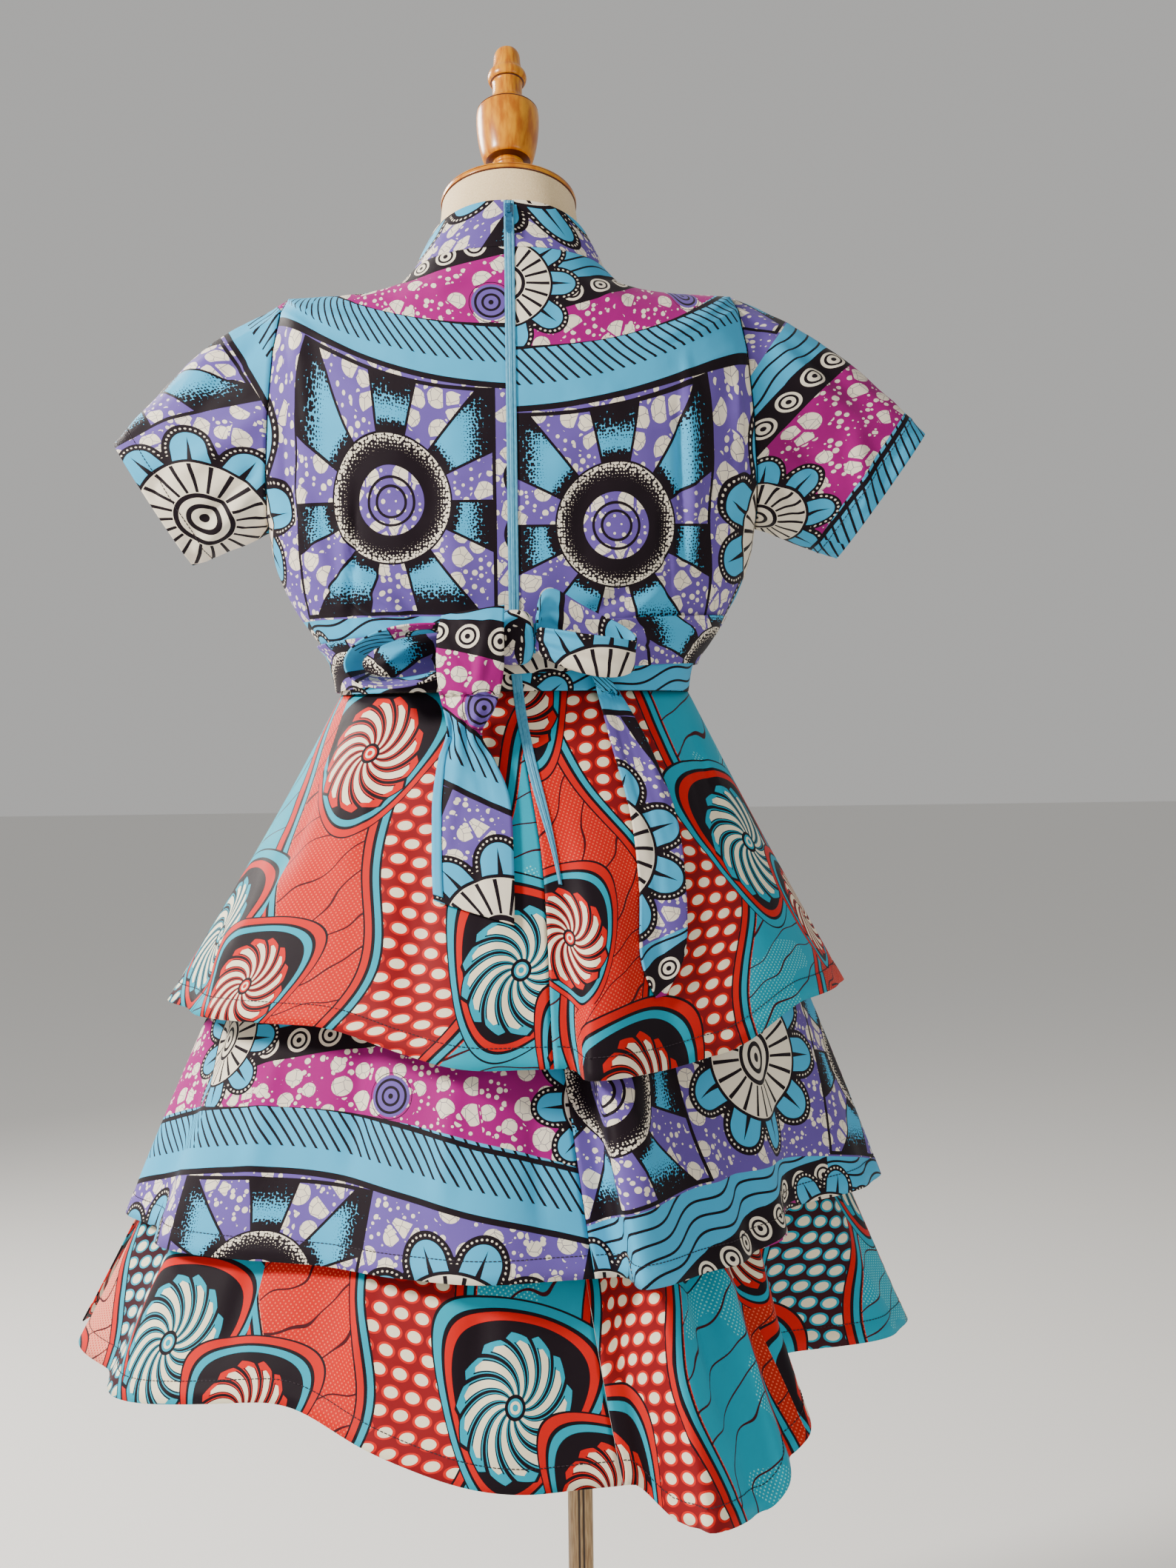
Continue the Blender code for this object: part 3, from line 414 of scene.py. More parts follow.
def ellipse(angle, left, right, back, front):
    """A point of a plan made of four quarter ellipses."""
    turn = math.radians(angle)
    across = left if math.cos(turn) > 0 else right
    deep = back if math.sin(turn) > 0 else front
    return Vector((across * math.cos(turn), deep * math.sin(turn), 0))


def fold_depth(angle, length):
    """How far the folds carry the cloth out, at an angle round the waist and a length of cloth below it."""
    depth = 0.0
    for fold in FOLDS:
        away = apart(angle, fold["angle"])
        reach = fold["before"] if away < 0 else fold["after"]
        if abs(away) < reach:
            shape = 0.5 + 0.5 * math.cos(math.pi * away / reach)
            depth += fold["depth"] * shape * smooth(fold["start"], fold["full"], length)
    return depth


def tier_length(tier, angle):
    """The cloth length from waist to hem."""
    back = smooth(*DIP_IN, angle) * (1 - smooth(*DIP_OUT, angle))
    right = max(-math.cos(math.radians(angle)), 0) ** 2
    left = smooth(*LEFT_IN, apart(angle, 0)) * (1 - smooth(*LEFT_OUT, angle))
    fold = smooth(*FOLD_IN, angle) * (1 - smooth(*FOLD_OUT, angle))
    length = tier["length"] - tier["right_short"] * right + tier["dip"] * back
    return length + tier["left_long"] * left + tier["fold_long"] * fold


def skirt_point(tier, angle, share):
    """A point of a tier, share of the way from the waist to its hem."""
    full = tier_length(tier, angle)
    length = full * share
    layer = (tier["layer"] - 1) * TIER_PITCH
    start = ellipse(angle, WAIST_SIDE + layer, WAIST_SIDE + layer, WAIST_BACK + layer, WAIST_FRONT + layer)
    hem = ellipse(angle, tier["left"], tier["right"], tier["back"], tier["front"])
    point = start + (hem - start) * share ** tier["opening"]
    drop = math.sqrt(max(full**2 - (hem - start).length ** 2, 0)) * share
    radius = point.length + fold_depth(angle, length)
    turn = math.atan2(point.y, point.x)
    near = max(1 - (apart(math.degrees(turn), DRIFT_CENTRE) / DRIFT_REACH) ** 2, 0) ** 2
    plain = PLAIN_RADIUS + PLAIN_FLARE * length
    drift = DRIFT * length + DRIFT_START * smooth(*DRIFT_GROWS, length)
    turn += math.radians(near * (drift - TWIST * max(radius - plain, 0) * smooth(*TWIST_GROWS, length)))
    return Vector((radius * math.cos(turn), radius * math.sin(turn), WAIST_Z - drop))


# mesh makers


def grid_normals(grid, closed=False, flat_rows=(), flat_columns=()):
    """The way out at each point of a grid. flat_rows and flat_columns name edges, each after the axis that
    its normals keep off."""
    rows, columns = len(grid), len(grid[0])
    normals = []
    for row in range(rows):
        above, below = grid[max(row - 1, 0)], grid[min(row + 1, rows - 1)]
        line = []
        for column in range(columns):
            if closed:
                along = grid[row][(column + 1) % columns] - grid[row][column - 1]
            else:
                along = grid[row][min(column + 1, columns - 1)] - grid[row][max(column - 1, 0)]
            normal = (below[column] - above[column]).cross(along).normalized()
            for axis, edge in flat_rows:
                if row == edge % rows:
                    normal[axis] = 0
            for axis, edge in flat_columns:
                if column == edge % columns:
                    normal[axis] = 0
            line.append(normal.normalized())
        normals.append(line)
    return normals


def pushed(grid, amount, closed=False, flat_rows=(), flat_columns=()):
    """The grid's points moved out by a number, or by what a function of row and column gives."""
    normals = grid_normals(grid, closed, flat_rows, flat_columns)
    far = amount if callable(amount) else lambda row, column: amount
    return [
        [point + normals[row][column] * far(row, column) for column, point in enumerate(line)]
        for row, line in enumerate(grid)
    ]


def raise_row(row, height):
    """Moves a row of points up, off the seam it lies on."""
    for point in row:
        point.z += height


def add_piece(name, points, faces, corners, finish, slot, body="root", replaces=()):
    """A mesh in the row frame with its print coordinates, shaded smooth, riding on a body."""
    mesh = bpy.data.meshes.new(name)
    mesh.from_pydata([point + Vector((BODY_X, 0, 0)) for point in points], [], faces)
    if corners:
        layer = mesh.uv_layers.new(name="UVMap")
        flat = [value for face in corners for pair in face for value in pair]
        layer.data.foreach_set("uv", flat)
    mesh.shade_smooth()
    made = bpy.data.objects.new(name, mesh)
    bpy.context.collection.objects.link(made)
    mesh.materials.append(finish)
    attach(made, body)
    if replaces:
        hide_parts(*replaces)
    return made


def cloth(name, grid, prints, finish, slot, thick=CLOTH, closed=False, flat_rows=(), flat_columns=(), **more):
    """A closed shell of cloth round a grid. prints gives each point's place on the flat cloth, with one more
    column than the grid where the shell is closed."""
    rows, columns = len(grid), len(grid[0])
    outer = pushed(grid, thick / 2, closed, flat_rows, flat_columns)
    inner = pushed(grid, -thick / 2, closed, flat_rows, flat_columns)
    points = [point for side in (outer, inner) for line in side for point in line]
    count = rows * columns
    faces, corners = [], []

    def add(*cells):
        faces.append([side * count + row * columns + column % columns for side, row, column in cells])
        corners.append([prints[row][column] for _, row, column in cells])

    last = columns if closed else columns - 1
    for row in range(rows - 1):
        for column in range(last):
            add((0, row, column), (0, row + 1, column), (0, row + 1, column + 1), (0, row, column + 1))
            add((1, row, column), (1, row, column + 1), (1, row + 1, column + 1), (1, row + 1, column))
    for column in range(last):
        add((0, 0, column), (0, 0, column + 1), (1, 0, column + 1), (1, 0, column))
        end = rows - 1
        add((0, end, column + 1), (0, end, column), (1, end, column), (1, end, column + 1))
    if not closed:
        for row in range(rows - 1):
            add((0, row + 1, 0), (0, row, 0), (1, row, 0), (1, row + 1, 0))
            end = columns - 1
            add((0, row, end), (0, row + 1, end), (1, row + 1, end), (1, row, end))
    return add_piece(name, points, faces, corners, finish, slot, **more)


def dress_cloth(name, grid, prints, finish="blue", **more):
    """A cloth piece in the place of the part's node of that name."""
    slot = "print_" + finish
    return cloth(name + "_cloth", grid, prints, FINISH[finish], slot, replaces=(name,), **more)


def flat_cut(prints):
    """The width, length and area of a cut from its points on the flat cloth."""
    across = [pair[0] for line in prints for pair in line]
    down = [pair[1] for line in prints for pair in line]
    area = 0.0
    for upper, lower in zip(prints, prints[1:]):
        for a, b, c, d in zip(upper, upper[1:], lower[1:], lower):
            area += abs((c[0] - a[0]) * (d[1] - b[1]) - (d[0] - b[0]) * (c[1] - a[1])) / 2
    return max(across) - min(across), max(down) - min(down), area


def declare(prints):
    """Works out the piece's flat cut: its width, length and area."""
    width, length, area = flat_cut(prints)


def steps_along(line):
    """Distances along a line of points from its first."""
    total, found = 0.0, [0.0]
    for one, two in zip(line, line[1:]):
        total += (two - one).length
        found.append(total)
    return found


def print_from_middle(grid, middle, origin, turn=0.0):
    """Places on the flat cloth: across from the middle column and down it, moved to origin and turned."""
    down = steps_along([line[middle] for line in grid])
    cos, sin = math.cos(turn), math.sin(turn)
    prints = []
    for line, low in zip(grid, down):
        along = steps_along(line)
        row = []
        for far in along:
            x, y = far - along[middle], low
            row.append((origin[0] + x * cos - y * sin, origin[1] + x * sin + y * cos))
        prints.append(row)
    return prints


def print_sector(grid, lengths, origin):
    """Places on the flat cloth of a flared panel: a ring sector, its edges as long as waist and hem."""
    waist, hem = steps_along(grid[0])[-1], steps_along(grid[-1])[-1]
    longest = max(lengths[-1])
    opening = (hem - waist) / longest
    inner = waist / opening
    prints = []
    for line, far in zip(grid, lengths):
        along = steps_along(line)
        row = []
        for step, length in zip(along, far):
            turn = opening * (step / along[-1] - 0.5)
            reach = inner + length
            row.append((origin[0] + reach * math.sin(turn), origin[1] + reach * math.cos(turn) - inner))
        prints.append(row)
    return prints


def tube(rings, prints, start_prints, end_prints):
    """Points, faces and print corners of a tube with a flat face at each end. prints has one more column."""
    count = len(rings[0])
    points = [point for ring in rings for point in ring]
    faces, corners = [], []
    for row in range(len(rings) - 1):
        upper, lower = prints[row], prints[row + 1]
        for column in range(count):
            one, two = row * count + column, row * count + (column + 1) % count
            faces.append([one, two, two + count, one + count])
            corners.append([upper[column], upper[column + 1], lower[column + 1], lower[column]])
    faces.append(list(range(count))[::-1])
    corners.append(start_prints[::-1])
    faces.append(list(range(len(points) - count, len(points))))
    corners.append(end_prints)
    return points, faces, corners


def lathe(name, profile, finish, slot, place, segments, **more):
    """A turned piece from (radius, height) pairs. Its end faces lie apart from its sides on the print."""
    turns = [math.tau * index / segments for index in range(segments)]
    rings = [
        [place @ Vector((radius * math.cos(turn), radius * math.sin(turn), height)) for turn in turns]
        for radius, height in profile
    ]
    prints = [[(index / segments, height) for index in range(segments + 1)] for _, height in profile]
    end = [(math.cos(turn), END_FACE_PLACE + math.sin(turn)) for turn in turns]
    made = add_piece(name, *tube(rings, prints, end, end), finish, slot, **more)
    made.data.set_sharp_from_angle(angle=SHARP_ANGLE)
    return made


# node fields for the prints


class Field:
    """A number worked out by shader nodes at each point of a surface."""

    def __init__(self, tree, socket):
        self.tree = tree
        self.socket = socket

    def math(self, operation, *others):
        node = self.tree.nodes.new("ShaderNodeMath")
        node.operation = operation
        for slot, value in zip(node.inputs, (self, *others)):
            if isinstance(value, Field):
                self.tree.links.new(value.socket, slot)
            else:
                slot.default_value = value
        return Field(self.tree, node.outputs[0])

    def __add__(self, other):
        return self.math("ADD", other)

    def __sub__(self, other):
        return self.math("SUBTRACT", other)

    def __rsub__(self, other):
        return (self * -1) + other

    def __mul__(self, other):
        return self.math("MULTIPLY", other)

    def __truediv__(self, other):
        return self.math("DIVIDE", other)

    def __lt__(self, other):
        return self.math("LESS_THAN", other)

    def __gt__(self, other):
        return self.math("GREATER_THAN", other)

    __radd__ = __add__
    __rmul__ = __mul__

    def fraction(self):
        return self.math("FRACT")

    def wrapped(self, low, high):
        return self.math("WRAP", high, low)

    def size(self):
        return self.math("ABSOLUTE")

    def sine(self):
        return self.math("SINE")

    def most(self, other):
        return self.math("MAXIMUM", other)

    def least(self, other):
        return self.math("MINIMUM", other)

    def within(self, middle, reach):
        """1 where this lies within reach of the middle."""
        return self.math("COMPARE", middle, reach)

    def fade(self, low, high):
        """0 at low, 1 at high, an even S between."""
        node = self.tree.nodes.new("ShaderNodeMapRange")
        node.interpolation_type = "SMOOTHSTEP"
        self.tree.links.new(self.socket, node.inputs["Value"])
        node.inputs["From Min"].default_value = low
        node.inputs["From Max"].default_value = high
        return Field(self.tree, node.outputs["Result"])


def length_of(x, y):
    return (x * x + y * y).math("SQRT")


def angle_of(x, y):
    """The angle of (x, y) as a share of a whole turn, from -0.5 to 0.5."""
    return y.math("ARCTAN2", x) / math.tau


def set_sockets(shader, sockets):
    """Sets a shader's inputs by name, with _ for a space."""
    for key, value in sockets.items():
        shader.inputs[key.replace("_", " ")].default_value = value


class Cloth:
    """A printed cloth's material: fields of its flat coordinates and colours laid over each other."""

    def __init__(self, name):
        self.material = bpy.data.materials.new(name)
        self.material.use_nodes = True
        self.tree = self.material.node_tree
        self.shader = self.tree.nodes["Principled BSDF"]
        coordinates = self.tree.nodes.new("ShaderNodeUVMap")
        coordinates.uv_map = "UVMap"
        parts = self.tree.nodes.new("ShaderNodeSeparateXYZ")
        self.tree.links.new(coordinates.outputs["UV"], parts.inputs[0])
        self.u = Field(self.tree, parts.outputs["X"])
        self.v = Field(self.tree, parts.outputs["Y"])
        self.colour = None

    def lay(self, colour, mask):
        """Lays a colour over what is there, where the mask is 1."""
        self.colour = self.blend(self.colour, colour, mask)

    def blend(self, under, over, mask):
        node = self.tree.nodes.new("ShaderNodeMix")
        node.data_type = "RGBA"
        node.clamp_factor = True
        self.tree.links.new(mask.socket, node.inputs["Factor"])
        for key, value in ((6, under), (7, over)):
            if isinstance(value, tuple):
                node.inputs[key].default_value = (*value, 1)
            else:
                self.tree.links.new(value, node.inputs[key])
        return node.outputs[2]

    def join(self, x, y, node):
        """Gives a texture node its place from two fields."""
        place = self.tree.nodes.new("ShaderNodeCombineXYZ")
        self.tree.links.new(x.socket, place.inputs[0])
        self.tree.links.new(y.socket, place.inputs[1])
        self.tree.links.new(place.outputs[0], node.inputs["Vector"])

    def cells(self, x, y, size, feature="F1", randomness=1.0):
        """Scattered cells of about the given size: the distance to each one's middle, and its own chance."""
        node = self.tree.nodes.new("ShaderNodeTexVoronoi")
        node.voronoi_dimensions = "2D"
        node.feature = feature
        node.inputs["Scale"].default_value = 1 / size
        node.inputs["Randomness"].default_value = randomness
        self.join(x, y, node)
        distance = Field(self.tree, node.outputs["Distance"])
        if feature != "F1":
            return distance, None
        split = self.tree.nodes.new("ShaderNodeSeparateColor")
        self.tree.links.new(node.outputs["Color"], split.inputs[0])
        return distance, Field(self.tree, split.outputs[0])

    def cloudy(self, x, y, size, detail=2.0):
        """Smooth noise from 0 to 1 with blotches of about the given size."""
        node = self.tree.nodes.new("ShaderNodeTexNoise")
        node.inputs["Scale"].default_value = 1 / size
        node.inputs["Detail"].default_value = detail
        self.join(x, y, node)
        return Field(self.tree, node.outputs["Fac"])

    def finish(self, **sockets):
        """The material with its colour joined to the shader, and the shader's other sockets set."""
        self.tree.links.new(self.colour, self.shader.inputs["Base Color"])
        set_sockets(self.shader, sockets)
        return self.material

    def finish_woven(self, roughness):
        """The material with a plain weave and soft handling creases."""
        shade = self.cloudy(self.u, self.v, 0.05)
        self.lay((0.02, 0.015, 0.02), (shade - 0.35) * 0.12)
        thread = math.tau / 0.0006
        weave = (self.u * thread).sine() * (self.v * thread).sine()
        creases = self.cloudy(self.u, self.v, 0.035, 3.0)
        height = weave * 0.00003 + creases * 0.0012
        bump = self.tree.nodes.new("ShaderNodeBump")
        bump.inputs["Distance"].default_value = 1.0
        bump.inputs["Strength"].default_value = 0.5
        self.tree.links.new(height.socket, bump.inputs["Height"])
        self.tree.links.new(bump.outputs[0], self.shader.inputs["Normal"])
        return self.finish(Roughness=roughness, Specular_IOR_Level=0.12, Sheen_Weight=0.04)


def paint(red, green, blue):
    """A colour from its screen values, 0 to 255."""
    return tuple(
        value / 255 / 12.92 if value <= 10 else ((value / 255 + 0.055) / 1.055) ** 2.4
        for value in (red, green, blue)
    )


INK = paint(20, 9, 18)
SKY = paint(60, 168, 212)
VIOLET = paint(98, 78, 156)
BONE = paint(232, 222, 202)
CRACK = paint(128, 120, 132)
MAGENTA = paint(150, 6, 112)
TOMATO = paint(200, 18, 13)
ROSE = paint(226, 94, 68)
SALMON = paint(184, 28, 17)
PEACH = paint(228, 98, 66)
PINK = paint(232, 138, 116)
TEAL = paint(0, 154, 180)
PALE_TEAL = paint(120, 215, 215)
MAROON = paint(128, 12, 20)
DARK_MAROON = paint(52, 14, 24)
VEIN = paint(64, 8, 18)
CREAM = paint(236, 226, 196)


def bubbles(cloth, x, y, ground):
    """Wax bubbles in bone over a ground colour: pebbles with fine cracks, and specks between them."""
    middle, chance = cloth.cells(x, y, 0.0185)
    edge, _ = cloth.cells(x, y, 0.0185, "DISTANCE_TO_EDGE")
    pebble = (edge > 0.075) * (middle < chance * 0.30 + 0.20) * (chance > 0.34)
    small, small_chance = cloth.cells(x, y, 0.0062)
    specks = (small < small_chance * 0.50 - 0.08) * (chance < 0.62)
    cracks, _ = cloth.cells(x, y, 0.0075, "DISTANCE_TO_EDGE")
    colour = cloth.blend(ground, BONE, pebble.most(specks))
    return cloth.blend(colour, CRACK, pebble * (cracks < 0.028))


# how wide and tall each print is before it repeats
BLUE_REPEAT = (0.34, 0.36)
RED_REPEAT = (0.29, 0.34)

# motifs of the blue print, and the finest grain of its shading
STIPPLE_SIZE = 0.0024
ROUNDEL_DROP = 0.075
ROUNDEL_V = 0.325
ROUNDEL_PITCH = 0.026
BAND_HEIGHT = 0.052
HATCH_PITCH = 0.0095
SUN_PANEL = (0.083, 0.088)
SUN_RAYS = 7
DAISY_PETALS = 9
DAISY_LINES = 20

# motifs of the red print
DOT_PITCH = 0.0042
VEIN_PITCH = 0.027
OVAL_TALL = 0.0138
OVAL_WIDE = 0.0178
PANEL_LINES = (0.0860, 0.1790, 0.2810)
BLADES = 13


def blue_print():
    """The sky blue, violet and ink cloth: sun discs, daisies, hatched bands and strips of roundels."""
    cloth = Cloth("wax_print_blue")
    wide, tall = BLUE_REPEAT
    u = cloth.u.wrapped(0.0, wide)
    v = cloth.v.wrapped(0.0, tall)
    stipple, _ = cloth.cells(cloth.u, cloth.v, STIPPLE_SIZE, randomness=0.65)
    cloth.colour = bubbles(cloth, cloth.u, cloth.v, VIOLET)
    roundel_strip(cloth, u, v)
    hatched_band(cloth, u, v)
    sun(cloth, u - 0.088, v - 0.144, stipple)
    daisy(cloth, u - 0.258, v - 0.148, 0.087)
    daisy(cloth, (u + wide / 2).wrapped(0.0, wide) - wide / 2, v - 0.305, 0.066)
    target(cloth, u - 0.17, v - 0.342)
    return cloth.finish_woven(0.62)


def roundel_strip(cloth, u, v):
    """Wavy sky blue above a slanting strip of roundels, and magenta bubbles below it."""
    slant = math.atan2(ROUNDEL_DROP, BLUE_REPEAT[0])
    along = u * math.cos(slant) - v * math.sin(slant)
    across = (v + u * math.tan(slant) - ROUNDEL_V) * math.cos(slant)
    lower = v > 0.235
    cloth.lay(SKY, lower * (across < 0.0))
    waves = ((across + (along * 95).sine() * 0.003) / 0.0115).fraction() < 0.17
    cloth.lay(INK, lower * (across < 0.0) * waves)
    pink = bubbles(cloth, cloth.u, cloth.v, MAGENTA)
    cloth.lay(pink, lower * (across > 0.0))
    cloth.lay(INK, lower * across.within(0.0, 0.0135))
    bead = (along / ROUNDEL_PITCH).fraction() * ROUNDEL_PITCH - ROUNDEL_PITCH / 2
    ring = length_of(bead, across)
    cloth.lay(BONE, lower * (ring < 0.0096))
    cloth.lay(INK, lower * ring.within(0.0062, 0.0010))
    cloth.lay(INK, lower * (ring < 0.0022))


def hatched_band(cloth, u, v):
    """A sky blue band with slanting hatches, between two dark lines."""
    rise = v + (u * math.tau / BLUE_REPEAT[0]).sine() * 0.003
    band = rise < BAND_HEIGHT
    cloth.lay(SKY, band)
    hatch = ((u - rise * 0.9) / HATCH_PITCH).fraction() < 0.26
    cloth.lay(INK, band * hatch * (rise < 0.033))
    cloth.lay(INK, rise.within(BAND_HEIGHT, 0.0024).most(rise.within(0.0015, 0.0020)))


def sun(cloth, x, y, stipple):
    """A sun: stippled rays round a dark disc, in a panel with a dark edge."""
    far = length_of(x, y)
    turn = angle_of(x, y)
    edge = (x.size() / SUN_PANEL[0]).most(y.size() / SUN_PANEL[1])
    panel = edge < 1.0
    ray = (turn * SUN_RAYS).wrapped(0.0, 1.0)
    blue_ray = ray < 0.5
    shade = edge.fade(0.62, 1.0).most(1 - far.fade(0.05, 0.063))
    dots = stipple < shade * 0.85
    cloth.lay(SKY, panel * blue_ray)
    cloth.lay(INK, panel * blue_ray * dots)
    edges = SUN_RAYS * 2
    border = (turn * edges).wrapped(-0.5, 0.5).size() * far * (math.tau / edges)
    cloth.lay(INK, panel * (border < 0.0011))
    cloth.lay(INK, edge.within(1.0, 0.018))
    cloth.lay(INK, far < 0.0495)
    cloth.lay(BONE, (far < 0.048) * (stipple < far.fade(0.034, 0.052) * 0.62))
    core = far < 0.0265
    cloth.lay(bubbles(cloth, cloth.u + 0.01, cloth.v, VIOLET), core)
    cloth.lay(INK, far.within(0.0185, 0.0011).most(far.within(0.0118, 0.0011)))


def target(cloth, x, y):
    """A target of rings in the magenta."""
    ring = length_of(x, y)
    cloth.lay(VIOLET, ring < 0.016)
    cloth.lay(INK, (ring < 0.018) * ((ring / 0.0058).fraction() < 0.36))


def daisy(cloth, x, y, reach):
    """A daisy: ringed heart, bone rays, sky blue petals and a dark scalloped edge with a row of dots."""
    far = length_of(x, y)
    turn = angle_of(x, y)
    cell = (turn * DAISY_PETALS).wrapped(-0.5, 0.5) * (math.tau / DAISY_PETALS)
    side = cell * far
    out = far - reach * 0.72
    end = length_of(side, out.most(0.0))
    whole = end < reach * 0.245
    cloth.lay(INK, whole.most(far < reach * 0.72))
    cloth.lay(SKY, (end < reach * 0.165) * (far > reach * 0.6))
    spike = (side.size() < (reach * 0.84 - far) * 0.10) * (far > reach * 0.58)
    cloth.lay(INK, spike)
    lap = side.math("ARCTAN2", out.most(0.0001)) * reach * 0.2 + out.least(0.0)
    pip = (lap / 0.0036).wrapped(-0.5, 0.5) * 0.0036
    dot = length_of(pip, end - reach * 0.205) < 0.0009
    cloth.lay(BONE, dot * (far > reach * 0.66))
    cloth.lay(BONE, far < reach * 0.57)
    fan = (turn * DAISY_LINES).wrapped(-0.5, 0.5).size() * far * (math.tau / DAISY_LINES)
    line = fan < 0.0006 + far * 0.022
    cloth.lay(INK, line * (far < reach * 0.56))
    heart = far < reach * 0.27
    cloth.lay(BONE, heart)
    cloth.lay(INK, heart * ((far / (reach * 0.108)).fraction() < 0.42))


def red_print():
    """The tomato, teal and maroon cloth: whirling rosettes, rows of ovals and veined, dotted panels."""
    cloth = Cloth("wax_print_red")
    wide, tall = RED_REPEAT
    turn = cloth.v * math.tau / tall
    flow = cloth.u + turn.sine() * 0.017 + (cloth.v * 2 * math.tau / tall + 1.0).sine() * 0.007
    column = (flow / wide).math("FLOOR")
    odd = column.wrapped(0.0, 2.0) > 0.5
    across = flow.wrapped(0.0, wide)
    u = cloth.u.wrapped(0.0, wide)
    v = cloth.v.wrapped(0.0, tall)
    dotted_ground(cloth, column, odd, across)
    oval_rows(cloth, odd, across)
    for middle in PANEL_LINES:
        away = across - middle
        cloth.lay(INK, away.within(0.0, 0.0085))
        cloth.lay(TOMATO, away.within(-0.0042, 0.0028))
        cloth.lay(TEAL, away.within(0.0040, 0.0026))
    rosette(cloth, u - 0.050, v - 0.085, 0.046, TOMATO, TEAL)
    rosette(cloth, u - 0.225, v - 0.235, 0.046, TEAL, TOMATO)
    rosette(cloth, (u + wide / 2).wrapped(0.0, wide) - wide / 2 - 0.012, v - 0.285, 0.036, TOMATO, TEAL)
    return cloth.finish_woven(0.6)


def dotted_ground(cloth, column, odd, across):
    """Dotted red, salmon in every other column and pink in every third, with a teal panel and dark veins."""
    lattice_x = ((cloth.u + cloth.v) / DOT_PITCH).wrapped(-0.5, 0.5)
    lattice_y = ((cloth.u - cloth.v) / DOT_PITCH).wrapped(-0.5, 0.5)
    dots = length_of(lattice_x, lattice_y) < 0.23
    plain = cloth.blend(TOMATO, ROSE, dots)
    pale = cloth.blend(SALMON, PEACH, dots)
    pink = cloth.blend(PINK, TOMATO, dots)
    cloth.colour = cloth.blend(cloth.blend(plain, pale, odd), pink, column.wrapped(0.0, 3.0) > 1.5)
    teal = cloth.blend(TEAL, PALE_TEAL, dots * (cloth.cloudy(cloth.u, cloth.v, 0.12) > 0.52))
    cloth.lay(teal, across.within(0.2310, 0.0425))
    bend = cloth.cloudy(cloth.u, cloth.v, 0.06, 1.0) * 0.05
    veins = ((cloth.v * 0.9 + across * 0.55 + bend) / VEIN_PITCH).fraction() < 0.055
    cloth.lay(VEIN, veins)


def oval_rows(cloth, odd, across):
    """Rows of cream ovals on maroon."""
    ovals = across.within(0.1325, 0.0400)
    ground = cloth.blend(MAROON, DARK_MAROON, odd)
    cloth.lay(ground, ovals)
    row = (cloth.v / OVAL_TALL).math("FLOOR")
    oval_x = (across / OVAL_WIDE + row * 0.5).wrapped(-0.5, 0.5) * OVAL_WIDE
    oval_y = (cloth.v / OVAL_TALL).fraction() * OVAL_TALL - OVAL_TALL / 2
    egg = length_of((oval_x + oval_y * 0.3) / 1.42, oval_y)
    rim = cloth.blend(TOMATO, TEAL, odd)
    cloth.lay(rim, ovals * (egg < 0.0055))
    cloth.lay(CREAM, ovals * (egg < 0.0040))


def rosette(cloth, x, y, reach, inner, outer):
    """A whirling rosette of cream blades inside drop-shaped outlines."""
    swell = y * (0.35 / reach) + 1.0
    drop = length_of(x * swell, y * 0.80)
    cloth.lay(INK, drop < reach * 1.32)
    cloth.lay(inner, drop.within(reach * 1.24, reach * 0.055))
    cloth.lay(outer, drop.within(reach * 1.09, reach * 0.05))
    far = length_of(x, y * 0.84)
    turn = angle_of(x, y * 0.84)
    blade = (turn * BLADES + far * (2.9 / reach)).wrapped(-0.5, 0.5).size()
    lobe = far + blade * reach * 0.16
    disc = lobe < reach * 1.0
    cloth.lay(INK, disc)
    cloth.lay(inner, disc * (blade < 0.40) * (lobe < reach * 0.97))
    cloth.lay(INK, disc * blade.within(0.29, 0.035) * (lobe < reach * 0.88))
    cloth.lay(CREAM, disc * (blade < 0.24) * (lobe < reach * 0.86))
    cloth.lay(INK, far < reach * 0.17)
    cloth.lay(inner, far < reach * 0.12)
    cloth.lay(CREAM, far.within(reach * 0.065, reach * 0.02))


# plain finishes


def plain_material(name, colour, roughness, **sockets):
    """A material of one colour."""
    made = bpy.data.materials.new(name)
    made.use_nodes = True
    shader = made.node_tree.nodes["Principled BSDF"]
    shader.inputs["Base Color"].default_value = (*colour, 1)
    set_sockets(shader, {"Roughness": roughness, **sockets})
    return made


def grained(name, low, high, roughness, scale, bump, stretch=(1, 1, 1), **sockets):
    """A material between two tones by stretched noise, with a bump of the same."""
    material = plain_material(name, low, roughness, **sockets)
    tree = material.node_tree
    shader = tree.nodes["Principled BSDF"]
    place = tree.nodes.new("ShaderNodeTexCoord")
    mapping = tree.nodes.new("ShaderNodeMapping")
    mapping.inputs["Scale"].default_value = stretch
    grain = tree.nodes.new("ShaderNodeTexNoise")
    grain.inputs["Scale"].default_value = scale
    grain.inputs["Detail"].default_value = 4.0
    ramp = tree.nodes.new("ShaderNodeValToRGB")
    ramp.color_ramp.elements[0].color = (*low, 1)
    ramp.color_ramp.elements[1].color = (*high, 1)
    ramp.color_ramp.elements[0].position = 0.3
    ramp.color_ramp.elements[1].position = 0.7
    tree.links.new(place.outputs["Object"], mapping.inputs["Vector"])
    tree.links.new(mapping.outputs[0], grain.inputs["Vector"])
    tree.links.new(grain.outputs["Fac"], ramp.inputs["Fac"])
    tree.links.new(ramp.outputs[0], shader.inputs["Base Color"])
    relief = tree.nodes.new("ShaderNodeBump")
    relief.inputs["Distance"].default_value = bump
    tree.links.new(grain.outputs["Fac"], relief.inputs["Height"])
    tree.links.new(relief.outputs[0], shader.inputs["Normal"])
    return material


